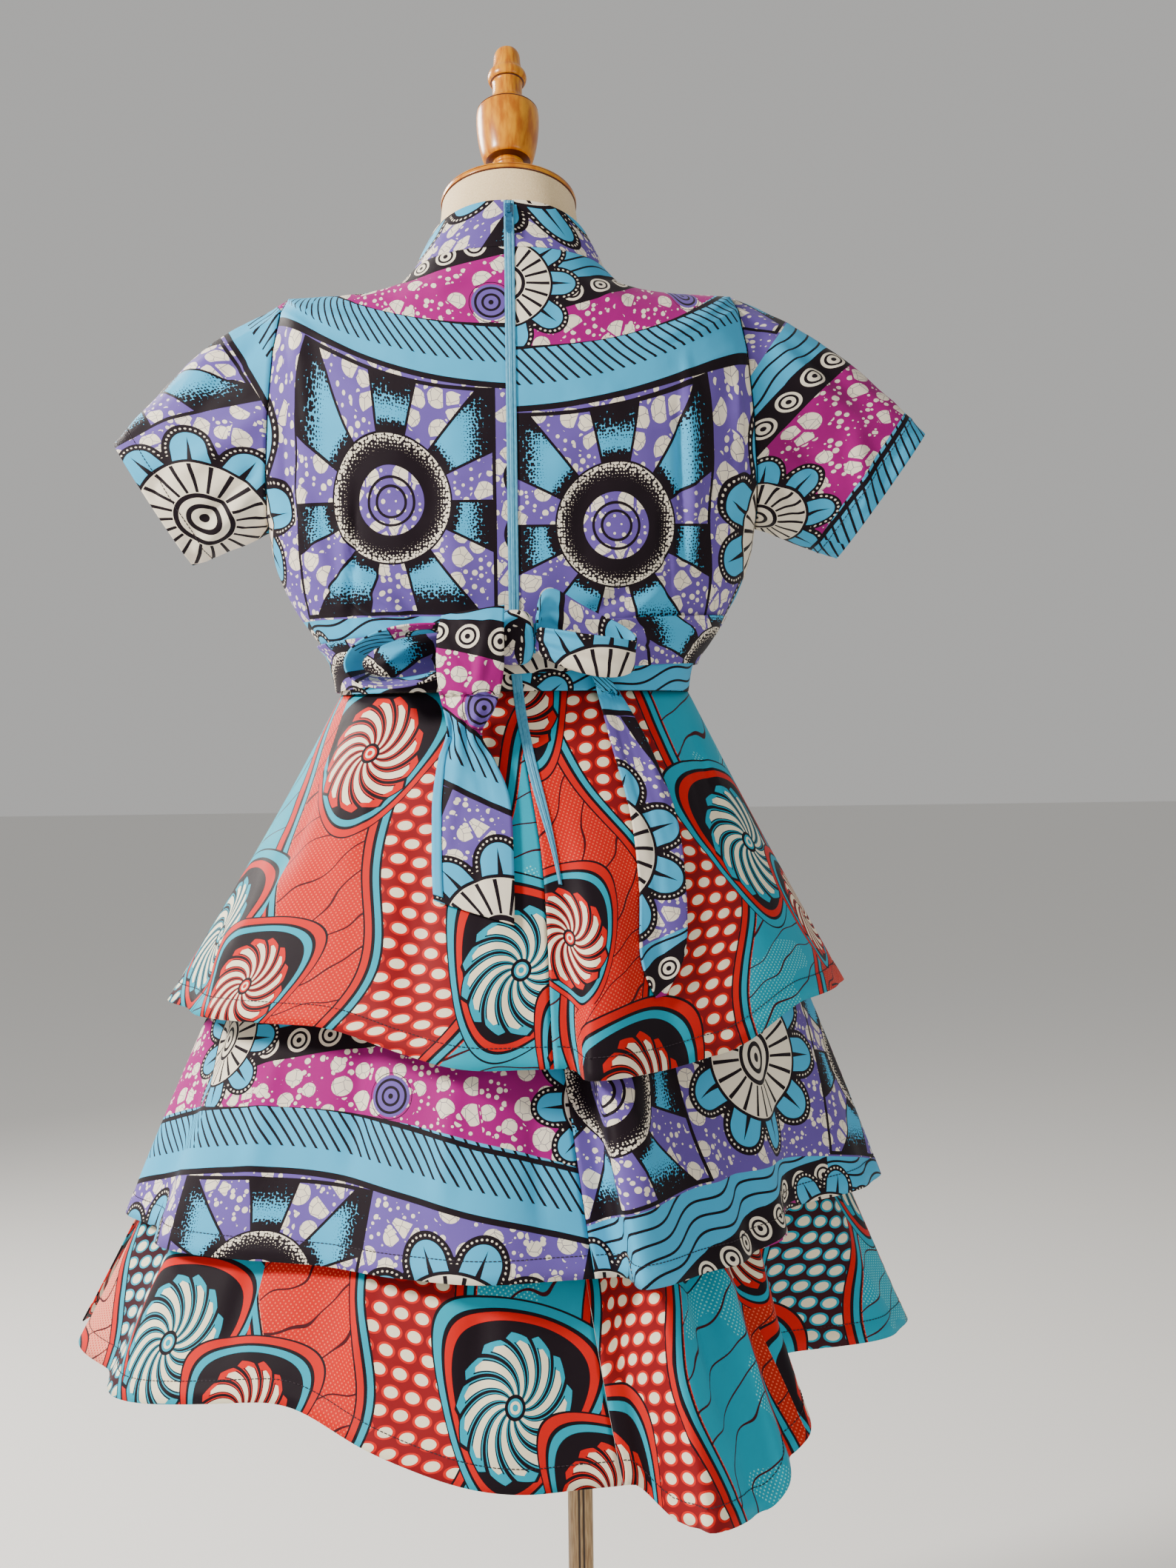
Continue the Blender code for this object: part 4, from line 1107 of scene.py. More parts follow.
def varnish(name, lines):
    """Golden varnished wood with fine grain round it and thin dark lines of painted shade at the given
    heights.
    """
    wood = Cloth(name)
    grain = wood.cloudy(wood.u * 0.3, wood.v * 0.5, 0.012, 4.0)
    wood.colour = wood.blend(paint(170, 92, 0), paint(216, 144, 0), grain.fade(0.3, 0.7))
    # painted shade: a dark brown line at each given height, in the grooves and at the edges of the turned
    # piece
    for height, half in lines:
        wood.lay(paint(84, 34, 2), wood.v.within(height, half))
    return wood.finish(Roughness=0.3, Specular_IOR_Level=0.3, Coat_Weight=0.2, Coat_Roughness=0.12)


def pole_finish():
    """Pale brown wood with fine grain along the pole and painted shade in its grooves."""
    wood = Cloth("pole_wood")
    grain = wood.cloudy(wood.u * 14, wood.v, 0.02, 3.0)
    wood.colour = wood.blend(paint(136, 104, 66), paint(182, 152, 108), grain.fade(0.3, 0.7))
    # painted shade: dark brown laid along each groove, where shade falls in the recess
    for groove in GROOVES:
        away = (wood.u - groove * POLE_RADIUS).size()
        wood.lay(paint(52, 34, 22), 1 - away.fade(GROOVE_HALF * 0.4, GROOVE_HALF * 1.3))
    return wood.finish(Roughness=0.45)


def finishes():
    """Every material, by a short name."""
    pale = (paint(138, 104, 66), paint(176, 142, 98), 0.5, 60, 0.0001, (1, 1, 0.05))
    linen = (paint(222, 194, 146), paint(238, 214, 172), 0.85, 900, 0.0002)
    tape = (paint(58, 140, 178), paint(84, 166, 200), 0.6, 700, 0.0001, (1, 1, 0.3))
    enamel = (paint(10, 66, 100), paint(26, 98, 136), 0.2, 400, 0.00002)
    thread = (paint(24, 14, 24), paint(50, 36, 48), 0.7, 2000, 0.0001)
    return {
        "blue": blue_print(),
        "red": red_print(),
        "finial": varnish("honey_finial", FINIAL_SHADE_LINES),
        "cap": varnish("honey_cap", CAP_SHADE_LINES),
        "pole": pole_finish(),
        "pale": grained("pale_pole_wood", *pale),
        "linen": grained("cream_linen", *linen, Sheen_Weight=0.15),
        "tape": grained("zip_tape_blue", *tape),
        "enamel": grained("zip_pull_blue", *enamel, Coat_Weight=0.8),
        "thread": grained("dark_thread", *thread),
    }


FINISH = finishes()


# pieces


SEAM_DIP = 0.0005
SEAM_DIP_REACH = 0.0022
BODICE_WIDE = 0.2


def seam_dip(shares):
    """How far the back bodice dips into the seam at each end of a row of shares."""
    dips = []
    for share in shares:
        ends = (share * BODICE_WIDE / SEAM_DIP_REACH, (1 - share) * BODICE_WIDE / SEAM_DIP_REACH)
        dips.append(-SEAM_DIP * sum(math.exp(-(end**2)) for end in ends))
    return dips


def edge_share(grid, closed, near, far):
    """At each point, 0 within near of the grid's edges, 1 past far, and an even S between."""
    rows, columns = len(grid), len(grid[0])
    down = [steps_along([line[column] for line in grid]) for column in range(columns)]
    across = [steps_along(line) for line in grid]
    shares = []
    for row in range(rows):
        line = []
        for column in range(columns):
            away = min(down[column][row], down[column][-1] - down[column][row])
            if not closed:
                away = min(away, across[row][column], across[row][-1] - across[row][column])
            line.append(smooth(near, far, away))
        shares.append(line)
    return shares


# a crease runs past both ends of its line by this share, and has its full height past this one
CREASE_PAST = 0.3
CREASE_FULL = 0.35


def crease_depth(point, creases):
    """How far soft troughs and ridges move a point, each tapering to both ends of its line in x and z."""
    depth = 0.0
    for start_x, start_z, end_x, end_z, width, height in creases:
        run_x, run_z = end_x - start_x, end_z - start_z
        length = math.hypot(run_x, run_z)
        share = ((point.x - start_x) * run_x + (point.z - start_z) * run_z) / length**2
        if -CREASE_PAST < share < 1 + CREASE_PAST:
            off = ((point.x - start_x) * run_z - (point.z - start_z) * run_x) / length
            taper = smooth(-CREASE_PAST, CREASE_FULL, share)
            taper *= smooth(-CREASE_PAST, CREASE_FULL, 1 - share)
            depth += height * math.exp(-((off / width) ** 2)) * taper
    return depth


# unevenness of worn cloth: the size of its coarse waves and their depth, and a seed for each piece
WEAR = {
    "bodice": (0.05, 0.0022),
    "sleeve": (0.045, 0.0025),
    "tier": (0.07, 0.0024),
    "sash_band": (0.02, 0.0008),
    "sash_end": (0.03, 0.0012),
}
SEEDS = {
    "bodice_back_left": 3,
    "bodice_back_right": 7,
    "bodice_front": 11,
    "sleeve_left": 17,
    "sleeve_right": 23,
    "sash_band": 31,
    "sash_end": 41,
}
FINER = 3.1
FINE_SHARE = 0.32


def worn(grid, creases, wear, seed, near=0.002, far=0.02, low=-0.004, high=0.004, closed=False, **flat):
    """The grid with its creases and a gentle unevenness, none of it at the edges. low and high are limits, or
    functions of the point."""
    scale, depth = WEAR[wear]
    shares = edge_share(grid, closed, near, far)

    def lift(row, column):
        point = grid[row][column]
        coarse = noise.noise(point / scale + Vector((seed, 0, 0)))
        fine = noise.noise(point / scale * FINER + Vector((0, seed, 0)))
        move = (coarse + FINE_SHARE * fine) * depth + crease_depth(point, creases)
        lowest = low(point) if callable(low) else low
        highest = high(point) if callable(high) else high
        return min(max(move, lowest), highest) * shares[row][column]

    return pushed(grid, lift, closed, **flat)


def hem_relief(grid, lengths, closed=False, **flat):
    """The turned hem: a shallow groove under its stitches and double cloth below them."""

    def lift(row, column):
        above = lengths[-1][column] - lengths[row][column]
        groove = math.exp(-(((above - HEM_DEPTH) / STITCH_GROOVE) ** 2))
        return HEM_FOLD * (1 - smooth(HEM_DEPTH - STITCH_GROOVE, HEM_DEPTH, above)) - HEM_FOLD * groove

    return pushed(grid, lift, closed, **flat)


# creases by x and z on the back or the front: start, end, half-width and height, a trough below zero
CREASES = {
    "bodice_back_left": (
        (0.126, 1.170, 0.131, 1.085, 0.0030, -0.0044),
        (0.133, 1.160, 0.137, 1.090, 0.0050, 0.0030),
        (0.155, 1.108, 0.105, 1.072, 0.0040, -0.0046),
        (0.130, 1.114, 0.084, 1.082, 0.0040, 0.0044),
        (0.118, 1.118, 0.078, 1.096, 0.0035, -0.0034),
        (0.172, 1.190, 0.146, 1.105, 0.0072, 0.0054),
        (0.186, 1.290, 0.181, 1.165, 0.0064, -0.0054),
        (0.172, 1.310, 0.164, 1.210, 0.0088, 0.0043),
        (0.095, 1.100, 0.070, 1.078, 0.0064, -0.0041),
        (0.166, 1.128, 0.118, 1.084, 0.0050, 0.0046),
        (0.160, 1.330, 0.110, 1.315, 0.0048, 0.0030),
        (0.090, 1.338, 0.035, 1.352, 0.0064, 0.0027),
        (0.050, 1.150, 0.044, 1.085, 0.0096, 0.0030),
        (0.070, 1.240, 0.062, 1.150, 0.0128, -0.0027),
    ),
    "bodice_back_right": (
        (-0.142, 1.268, -0.146, 1.112, 0.0060, 0.0060),
        (-0.134, 1.262, -0.137, 1.100, 0.0034, -0.0046),
        (-0.121, 1.158, -0.126, 1.085, 0.0028, -0.0040),
        (-0.172, 1.200, -0.142, 1.095, 0.0080, -0.0057),
        (-0.187, 1.280, -0.178, 1.170, 0.0064, 0.0049),
        (-0.095, 1.105, -0.060, 1.080, 0.0064, -0.0038),
        (-0.118, 1.100, -0.090, 1.078, 0.0048, 0.0035),
        (-0.165, 1.325, -0.120, 1.300, 0.0064, 0.0030),
        (-0.060, 1.350, -0.100, 1.330, 0.0064, 0.0024),
        (-0.060, 1.200, -0.054, 1.110, 0.0120, -0.0027),
    ),
    "bodice_front": (
        (0.120, 1.170, 0.108, 1.085, 0.0040, -0.0030),
        (-0.116, 1.165, -0.104, 1.085, 0.0040, -0.0030),
        (0.176, 1.190, 0.128, 1.150, 0.0072, -0.0057),
        (-0.180, 1.195, -0.136, 1.145, 0.0072, -0.0057),
        (0.182, 1.290, 0.176, 1.180, 0.0072, 0.0051),
        (-0.184, 1.280, -0.174, 1.175, 0.0064, 0.0049),
        (0.150, 1.120, 0.112, 1.080, 0.0064, 0.0041),
        (-0.158, 1.125, -0.118, 1.082, 0.0072, 0.0041),
        (0.060, 1.120, 0.044, 1.080, 0.0072, -0.0035),
        (-0.052, 1.110, -0.040, 1.078, 0.0064, -0.0032),
        (0.020, 1.150, 0.014, 1.085, 0.0096, 0.0030),
        (0.060, 1.290, 0.092, 1.220, 0.0144, -0.0035),
        (-0.070, 1.285, -0.100, 1.215, 0.0136, -0.0032),
    ),
    "sleeve_left": (
        (0.206, 1.315, 0.250, 1.262, 0.0068, -0.0049),
        (0.215, 1.240, 0.270, 1.205, 0.0085, 0.0054),
        (0.205, 1.205, 0.252, 1.168, 0.0064, -0.0057),
        (0.240, 1.300, 0.292, 1.238, 0.0102, 0.0041),
        (0.218, 1.180, 0.262, 1.142, 0.0059, 0.0051),
        (0.285, 1.205, 0.305, 1.178, 0.0059, -0.0041),
    ),
    "sleeve_right": (
        (-0.208, 1.310, -0.262, 1.268, 0.0076, -0.0049),
        (-0.216, 1.235, -0.262, 1.190, 0.0076, 0.0057),
        (-0.208, 1.205, -0.250, 1.158, 0.0059, -0.0057),
        (-0.245, 1.300, -0.300, 1.250, 0.0093, 0.0041),
        (-0.285, 1.230, -0.296, 1.165, 0.0076, -0.0046),
    ),
    "sash_tail_left": (
        (0.050, 1.080, 0.030, 1.020, 0.0050, -0.0030),
        (0.020, 1.070, 0.034, 1.010, 0.0045, 0.0026),
        (0.034, 0.970, 0.020, 0.930, 0.0040, -0.0022),
        (0.044, 0.970, 0.054, 0.900, 0.0050, 0.0022),
        (0.030, 0.900, 0.034, 0.850, 0.0060, -0.0012),
    ),
    "sash_tail_right": (
        (-0.078, 1.015, -0.108, 0.900, 0.0040, -0.0026),
        (-0.095, 1.010, -0.118, 0.920, 0.0040, 0.0022),
        (-0.108, 0.900, -0.110, 0.810, 0.0045, -0.0016),
    ),
    "sash_band": (
        (0.150, 1.0535, 0.020, 1.0620, 0.0026, -0.0030),
        (0.140, 1.0410, 0.030, 1.0500, 0.0030, 0.0022),
        (0.090, 1.0470, 0.010, 1.0560, 0.0020, -0.0020),
        (-0.018, 1.0660, -0.145, 1.0720, 0.0026, -0.0030),
        (-0.030, 1.0560, -0.140, 1.0600, 0.0030, 0.0022),
        (-0.050, 1.0500, -0.120, 1.0520, 0.0020, -0.0020),
    ),
    "top_tier": (
        (0.145, 1.000, 0.190, 0.880, 0.0090, -0.0045),
        (0.120, 0.985, 0.135, 0.880, 0.0108, 0.0045),
        (0.075, 0.900, 0.085, 0.780, 0.0144, -0.0048),
        (0.200, 0.900, 0.236, 0.800, 0.0117, 0.0051),
        (-0.132, 1.000, -0.168, 0.900, 0.0072, -0.0045),
        (-0.150, 0.990, -0.200, 0.870, 0.0090, 0.0048),
        (0.010, 0.870, 0.016, 0.770, 0.0090, 0.0030),
        (-0.030, 0.930, -0.040, 0.830, 0.0108, -0.0033),
    ),
    "middle_tier": (
        (0.120, 0.760, 0.128, 0.660, 0.0099, -0.0054),
        (0.190, 0.740, 0.210, 0.640, 0.0108, 0.0051),
        (0.050, 0.720, 0.060, 0.630, 0.0090, 0.0045),
        (-0.010, 0.720, -0.016, 0.620, 0.0072, -0.0042),
        (-0.080, 0.730, -0.092, 0.630, 0.0099, 0.0051),
        (-0.190, 0.760, -0.215, 0.660, 0.0099, -0.0054),
    ),
    "bottom_tier": (
        (0.200, 0.600, 0.226, 0.520, 0.0117, -0.0060),
        (0.120, 0.590, 0.124, 0.500, 0.0108, 0.0057),
        (0.030, 0.580, 0.036, 0.480, 0.0126, -0.0054),
        (-0.060, 0.600, -0.070, 0.480, 0.0108, 0.0060),
        (-0.130, 0.590, -0.146, 0.480, 0.0099, -0.0060),
        (-0.210, 0.620, -0.236, 0.560, 0.0108, 0.0054),
    ),
}
ZIP_CLEAR = (0.005, 0.02)
SASH_TOP_Z = 1.078


# how far the bodice may go in on the shoulders and below them, and out under the sash and above it
BODICE_IN = (0.0004, 0.0044)
BODICE_OUT = (0.0008, 0.0066)
SHOULDER_Z = (1.215, 1.275)
SHOULDER_X = 0.17
SHOULDER_SLOPE = 0.35


def bodice_low(point):
    """The least that the bodice may move: next to nothing on the form's shoulders."""
    height = point.z + SHOULDER_SLOPE * (SHOULDER_X - abs(point.x))
    return -BODICE_IN[0] - (BODICE_IN[1] - BODICE_IN[0]) * (1 - smooth(*SHOULDER_Z, height))


def bodice_high(point):
    """The most that the bodice may move: little under the sash."""
    above = smooth(SASH_TOP_Z, SASH_TOP_Z + 0.02, point.z)
    return BODICE_OUT[0] + (BODICE_OUT[1] - BODICE_OUT[0]) * above


BODICE_STEP = 0.125
BACK_SHARES = edged(spread(0, 1, 1 / 72), (0.006, 0.013))

# where each piece lies on the blue cloth: the top of its middle edge, and for a sleeve the middle of its hem
BODICE_PLACES = {
    "bodice_back_left": (0.185, -0.068),
    "bodice_back_right": (0.005, -0.088),
    "bodice_front": (0.19, -0.02),
}


def bodice():
    places = spread(0, len(BODICE) - 1, BODICE_STEP)
    for left in (True, False):
        sign = 1 if left else -1
        grid = []
        for place in places:
            row = bodice_row(place)
            line = [bodice_point(row, share, True, left) for share in BACK_SHARES]
            line[-1].x = sign * SEAM / 2
            if place <= SHOULDER_ROWS or place >= UNDERARM_ROW:
                line[0].y += SEAM / 2
            grid.append(line)
        raise_row(grid[-1], SEAM / 2)
        flat = {"flat_rows": ((2, 0), (2, -1))}
        if left:
            flat["flat_columns"] = ((1, 0), (0, -1))
            middle = len(grid[0]) - 1
        else:
            grid = [line[::-1] for line in grid]
            flat["flat_columns"] = ((0, 0), (1, -1))
            middle = 0
        name = "bodice_back_left" if left else "bodice_back_right"
        prints = print_from_middle(grid, middle, BODICE_PLACES[name])
        dips = seam_dip(BACK_SHARES)
        grid = pushed(grid, lambda row, column: dips[column], **flat)
        shape = {"low": bodice_low, "high": bodice_high, "near": ZIP_CLEAR[0], "far": ZIP_CLEAR[1]}
        grid = worn(grid, CREASES[name], "bodice", SEEDS[name], **shape, **flat)
        piece = dress_cloth(name, grid, prints, **flat)
        declare(prints)
    grid = []
    for place in places:
        row = bodice_row(place)
        one = [bodice_point(row, share, False, True) for share in BACK_SHARES]
        two = [bodice_point(row, share, False, False) for share in BACK_SHARES]
        if place <= SHOULDER_ROWS or place >= UNDERARM_ROW:
            one[0].y -= SEAM / 2
            two[0].y -= SEAM / 2
        grid.append(two + one[-2::-1])
    raise_row(grid[-1], SEAM / 2)
    flat = {"flat_rows": ((2, 0), (2, -1)), "flat_columns": ((1, 0), (1, -1))}
    name = "bodice_front"
    prints = print_from_middle(grid, len(BACK_SHARES) - 1, BODICE_PLACES[name])
    grid = worn(grid, CREASES[name], "bodice", SEEDS[name], low=bodice_low, high=bodice_high, **flat)
    piece = dress_cloth(name, grid, prints, **flat)
    declare(prints)


def collar():
    turns = spread(90, 450, 2.5)
    grid = []
    for place in edged(spread(0, 1, 0.08), (0.02, 0.05)):
        row = smooth_row(COLLAR, 2 * place)
        line = [ring_point(row, turn) for turn in turns]
        line[0].x, line[-1].x = -SEAM / 2, SEAM / 2
        grid.append(line)
    raise_row(grid[0], SEAM)
    flat = {"flat_rows": ((2, 0),), "flat_columns": ((0, 0), (0, -1))}
    prints = print_from_middle(grid, len(turns) // 2, (0.12, 0.062))
    piece = dress_cloth("collar", grid, prints, **flat)
    declare(prints)


def sleeve_grid(left, rows, step):
    """A sleeve's rings from its armhole to its hem."""
    sign = 1 if left else -1
    seam = armhole(left, step)
    count = len(seam)
    middle = (SLEEVE_TOP[left] + SLEEVE_UNDER[left]) / 2
    rise = (SLEEVE_TOP[left] - SLEEVE_UNDER[left]) / 2
    up = Vector((SLEEVE_CROWN_LEAN * sign, 0, 1)).normalized()
    grid = []
    for share in rows:
        line = []
        for column in range(count):
            start = seam[column] + Vector((SLEEVE_START * sign, 0, 0))
            turn = math.tau * column / count
            depth = SLEEVE_DEPTH * math.sin(turn) * abs(math.sin(turn)) ** SLEEVE_SQUARENESS
            end = middle + rise * math.cos(turn) + Vector((0, depth, 0))
            crown = SLEEVE_CROWN * math.sin(math.pi * share) * max(math.cos(turn), 0)
            line.append(start.lerp(end, share) + up * crown)
        grid.append(line)
    return grid


SLEEVE_PLACES = {"sleeve_left": (0.30, 0.18), "sleeve_right": (0.02, 0.385)}
SLEEVE_LIMIT = 0.006


def sleeves():
    rows = spread(0, 0.86, 0.04) + spread(0.86, 1, 0.014)[1:]
    for left in (True, False):
        name = "sleeve_left" if left else "sleeve_right"
        grid = sleeve_grid(left, rows, BODICE_STEP)
        columns = len(grid[0])
        down = [steps_along([line[column % columns] for line in grid]) for column in range(columns + 1)]
        across, low = SLEEVE_PLACES[name]
        prints = []
        for row, line in enumerate(grid):
            around = steps_along(line + [line[0]])
            prints.append([
                (across + step - around[-1] / 2, low + down[column][row] - down[column][-1])
                for column, step in enumerate(around)
            ])
        lengths = [[down[column][row] for column in range(columns)] for row in range(len(grid))]
        limits = {"low": -SLEEVE_LIMIT, "high": SLEEVE_LIMIT}
        grid = worn(grid, CREASES[name], "sleeve", SEEDS[name], closed=True, far=0.012, **limits)
        grid = hem_relief(grid, lengths, closed=True)
        piece = dress_cloth(name, grid, prints, closed=True)
        declare(prints)
        hem_stitches(name + "_stitches", [hem_line(grid, lengths, True)])


def tier_grid(tier, angles, shares):
    """A panel of a tier, its side edges drawn in off the seams and its waist edge lowered off the bodice."""
    grid = [[skirt_point(tier, angle, share) for angle in angles] for share in shares]
    for line in grid:
        for edge, inner in ((0, 1), (-1, -2)):
            along = (line[inner] - line[edge]).normalized()
            line[edge] += along * SEAM * 0.75
    raise_row(grid[0], -SEAM / 2)
    return grid


# room between the tiers: at the waist, for each metre below it, and the most
TIER_ROOM = (0.0004, 0.02, 0.006)

# the stretch of the top tier's back that lies under the sash's loose ends, and its room there
UNDER_ENDS_X = (-0.14, 0.08)
UNDER_ENDS_Z = 0.77
UNDER_ENDS_ROOM = 0.0018


def tier_room(point):
    """How far a tier may move before it nears the next, which lies close at the waist and far at the hem."""
    start, slope, most = TIER_ROOM
    return min(start + slope * (WAIST_Z - point.z), most)


def tier_low(point):
    """The least that a tier may move."""
    return -tier_room(point)


def tier_high(point):
    """The most that a tier may move: little under the sash's loose ends, which lie on the top tier's back."""
    room = tier_room(point)
    if point.y > 0 and point.z > UNDER_ENDS_Z and UNDER_ENDS_X[0] < point.x < UNDER_ENDS_X[1]:
        return min(room, UNDER_ENDS_ROOM)
    return room


# the front's creases are the back's mirrored, with their first end this much lower
FRONT_LOWER = 0.006

# how far down each tier its hidden stretch ends, and where the panels lie on their cloth
HIDDEN = {"bottom_tier": 0.66, "middle_tier": 0.50, "top_tier": 0.0}
PANEL_PLACES = {
    "top_tier_back_left": (0.06, 0.03),
    "top_tier_back_right": (0.16, 0.10),
    "top_tier_front": (0.10, 0.06),
    "middle_tier_back_left": (0.10, 0.02),
    "middle_tier_back_right": (0.22, 0.20),
    "middle_tier_front": (0.30, 0.12),
    "bottom_tier_back_left": (0.02, 0.05),
    "bottom_tier_back_right": (0.31, 0.18),
    "bottom_tier_front": (0.2, 0.0),
}
TIER_STEP = 0.75


def tier_shares(tier):
    """Rows down a tier as shares of its length: wide apart where hidden, close at the hem's stitches."""
    full = tier["length"]
    hidden = HIDDEN[tier["name"]]
    hem = 1 - HEM_DEPTH / full
    shares = spread(0, hidden, 0.025 / full) if hidden else [0.0]
    shares += spread(hidden, hem - 0.004, 0.009 / full)[1:]
    return shares + [hem, hem + 0.004, (hem + 1) / 2, 1.0]


def tier_creases(tier, panel):
    """The back's creases, or for the front the same ones mirrored, starting a little lower."""
    creases = CREASES[tier["name"]]
    if panel != "front":
        return creases
    return [(-x, z - FRONT_LOWER, -x2, z2, wide, high) for x, z, x2, z2, wide, high in creases]


def tiers():
    edge = math.degrees(SEAM / 2 / WAIST_SIDE)
    panels = (
        ("back_left", edge, SEAM_ANGLE),
        ("back_right", SEAM_ANGLE, 180 - edge),
        ("front", 180 + edge, 360 - edge),
    )
    flat = {"flat_rows": ((2, 0),)}
    shape = {"low": tier_low, "high": tier_high, "near": 0.004, "far": 0.05}
    for tier in TIERS:
        shares = tier_shares(tier)
        finish = "blue" if tier["name"] == "middle_tier" else "red"
        hems = []
        for panel, start, end in panels:
            name = f"{tier['name']}_{panel}"
            angles = spread(start, end, TIER_STEP)
            grid = tier_grid(tier, angles, shares)
            lengths = [[tier_length(tier, angle) * share for angle in angles] for share in shares]
            prints = print_sector(grid, lengths, PANEL_PLACES[name])
            seed = tier["layer"] * 5 + start
            grid = worn(grid, tier_creases(tier, panel), "tier", seed, **shape, **flat)
            grid = hem_relief(grid, lengths, **flat)
            hems.append(hem_line(grid, lengths, False))
            piece = dress_cloth(name, grid, prints, finish, **flat)
            declare(prints)
        hem_stitches(tier["name"] + "_stitches", hems)


def hem_line(grid, lengths, closed):
    """Points along the cloth at the hem's stitches, each with the way out of the cloth."""
    normals = grid_normals(grid, closed)
    found = []
    for column in range(len(grid[0])):
        target = lengths[-1][column] - HEM_DEPTH
        row = max(index for index in range(len(grid)) if lengths[index][column] <= target)
        upper, lower = lengths[row][column], lengths[row + 1][column]
        share = (target - upper) / (lower - upper)
        point = grid[row][column].lerp(grid[row + 1][column], share)
        found.append((point, normals[row][column].lerp(normals[row + 1][column], share).normalized()))
    return found + found[:1] if closed else found


# a stitch along its length: the place and the thickness as shares of the whole
STITCH_SHAPE = ((0, 0.5), (0.18, 1.0), (0.82, 1.0), (1, 0.5))
STITCH_SUNK = 0.3


def hem_stitches(name, lines):
    """Rows of dark stitches along hems, on the outer and the inner side of the cloth."""
    points, faces = [], []
    for line in lines:
        path = [point for point, _ in line]
        distances = steps_along(path)
        place, index = STITCH_PITCH, 0
        while place < distances[-1] - STITCH_PITCH:
            while distances[index + 1] < place:
                index += 1
            share = (place - distances[index]) / (distances[index + 1] - distances[index])
            start = path[index].lerp(path[index + 1], share)
            along = (path[index + 1] - path[index]).normalized()
            out = line[index][1].lerp(line[index + 1][1], share)
            side = out.cross(along).normalized()
            for face in (1, -1):
                lift = out * face * (HALF + STITCH_THICK * STITCH_SUNK)
                base = len(points)
                for far, size in STITCH_SHAPE:
                    centre = start + along * STITCH_LENGTH * far + lift
                    reach = STITCH_THICK / 2 * size
                    points += [
                        centre + out * reach, centre + side * reach,
                        centre - out * reach, centre - side * reach,
                    ]
                faces.append([base, base + 1, base + 2, base + 3])
                faces.append([base + 15, base + 14, base + 13, base + 12])
                for ring in range(3):
                    for corner in range(4):
                        a, b = base + ring * 4 + corner, base + ring * 4 + (corner + 1) % 4
                        faces.append([a, a + 4, b + 4, b])
            place += STITCH_PITCH
    add_piece(name, points, faces, None, FINISH["thread"], "print_blue")


def bodice_at(angle, height):
    """The bodice's surface above the waist, between the rows of its table."""
    rows = BODICE[UNDERARM_ROW + 1 :]
    for upper, lower in zip(rows, rows[1:]):
        if height >= lower["side_z"] or lower is rows[-1]:
            share = (upper["side_z"] - height) / (upper["side_z"] - lower["side_z"])
            return ring_point(upper, angle).lerp(ring_point(lower, angle), share)
    return None


def sash_band():
    grid = []
    angles = spread(0, 360, 2.5)[:-1]
    for step in edged(spread(0, 1, 0.07), (0.02, 0.045)):
        line = []
        for angle in angles:
            middle = SASH_Z - SASH_TILT * math.cos(math.radians(angle))
            height = middle + SASH_HEIGHT * (0.5 - step)
            point = bodice_at(angle, height)
            point.z = height
            line.append(point)
        grid.append(line)
    grid = pushed(grid, CLOTH + SASH_STAND, closed=True)
    limits = {"low": -0.0012, "high": 0.0022}
    grid = worn(grid, CREASES["sash_band"], "sash_band", SEEDS["sash_band"], far=0.007, closed=True, **limits)
    around = [steps_along(line + [line[0]]) for line in grid]
    down = steps_along([line[0] for line in grid])
    prints = [[(0.03 + step, 0.085 + low) for step in line] for line, low in zip(around, down)]
    piece = dress_cloth("sash_band", grid, prints, closed=True)
    declare(prints)


def boxy(value):
    """A sine or cosine made squarer, so that what turns by it fills out towards a box."""
    return math.copysign(abs(value) ** KNOT_SQUARENESS, value)


def knot():
    """The wrap of the sash round its own ends, drawn in folds towards its middle."""
    grid = []
    for step in range(1, KNOT_ROWS):
        rise = math.pi * (step / KNOT_ROWS - 0.5)
        level = boxy(math.sin(rise))
        size = boxy(math.cos(rise))
        line = []
        for index in range(KNOT_COLUMNS):
            turn = math.tau * index / KNOT_COLUMNS
            lean = KNOT_TWIST * level + KNOT_UNEVEN * math.sin(KNOT_PLEATS / 2 * turn)
            fold = 0.5 + 0.5 * math.cos(KNOT_PLEATS * turn + lean)
            pleat = 1 - KNOT_PLEAT * fold**2 * size
            x = boxy(math.cos(turn)) * size * KNOT_HALF.x * pleat
            y = boxy(math.sin(turn)) * size * KNOT_HALF.y * pleat
            line.append(KNOT_CENTRE + Vector((x, y, level * KNOT_HALF.z)))
        grid.append(line[::-1])
    (x, y), (right, down) = KNOT_PLACE, KNOT_PRINT_STEP
    prints = [
        [(x + right * index, y + down * low) for index in range(KNOT_COLUMNS + 1)] for low in range(len(grid))
    ]
    points, faces, corners = tube(grid, prints, prints[0][:-1], prints[-1][:-1])
    faces = [face[::-1] for face in faces]
    corners = [corner[::-1] for corner in corners]
    finish = FINISH["blue"]
    add_piece("sash_knot_cloth", points, faces, corners, finish, "print_blue", replaces=("sash_knot",))


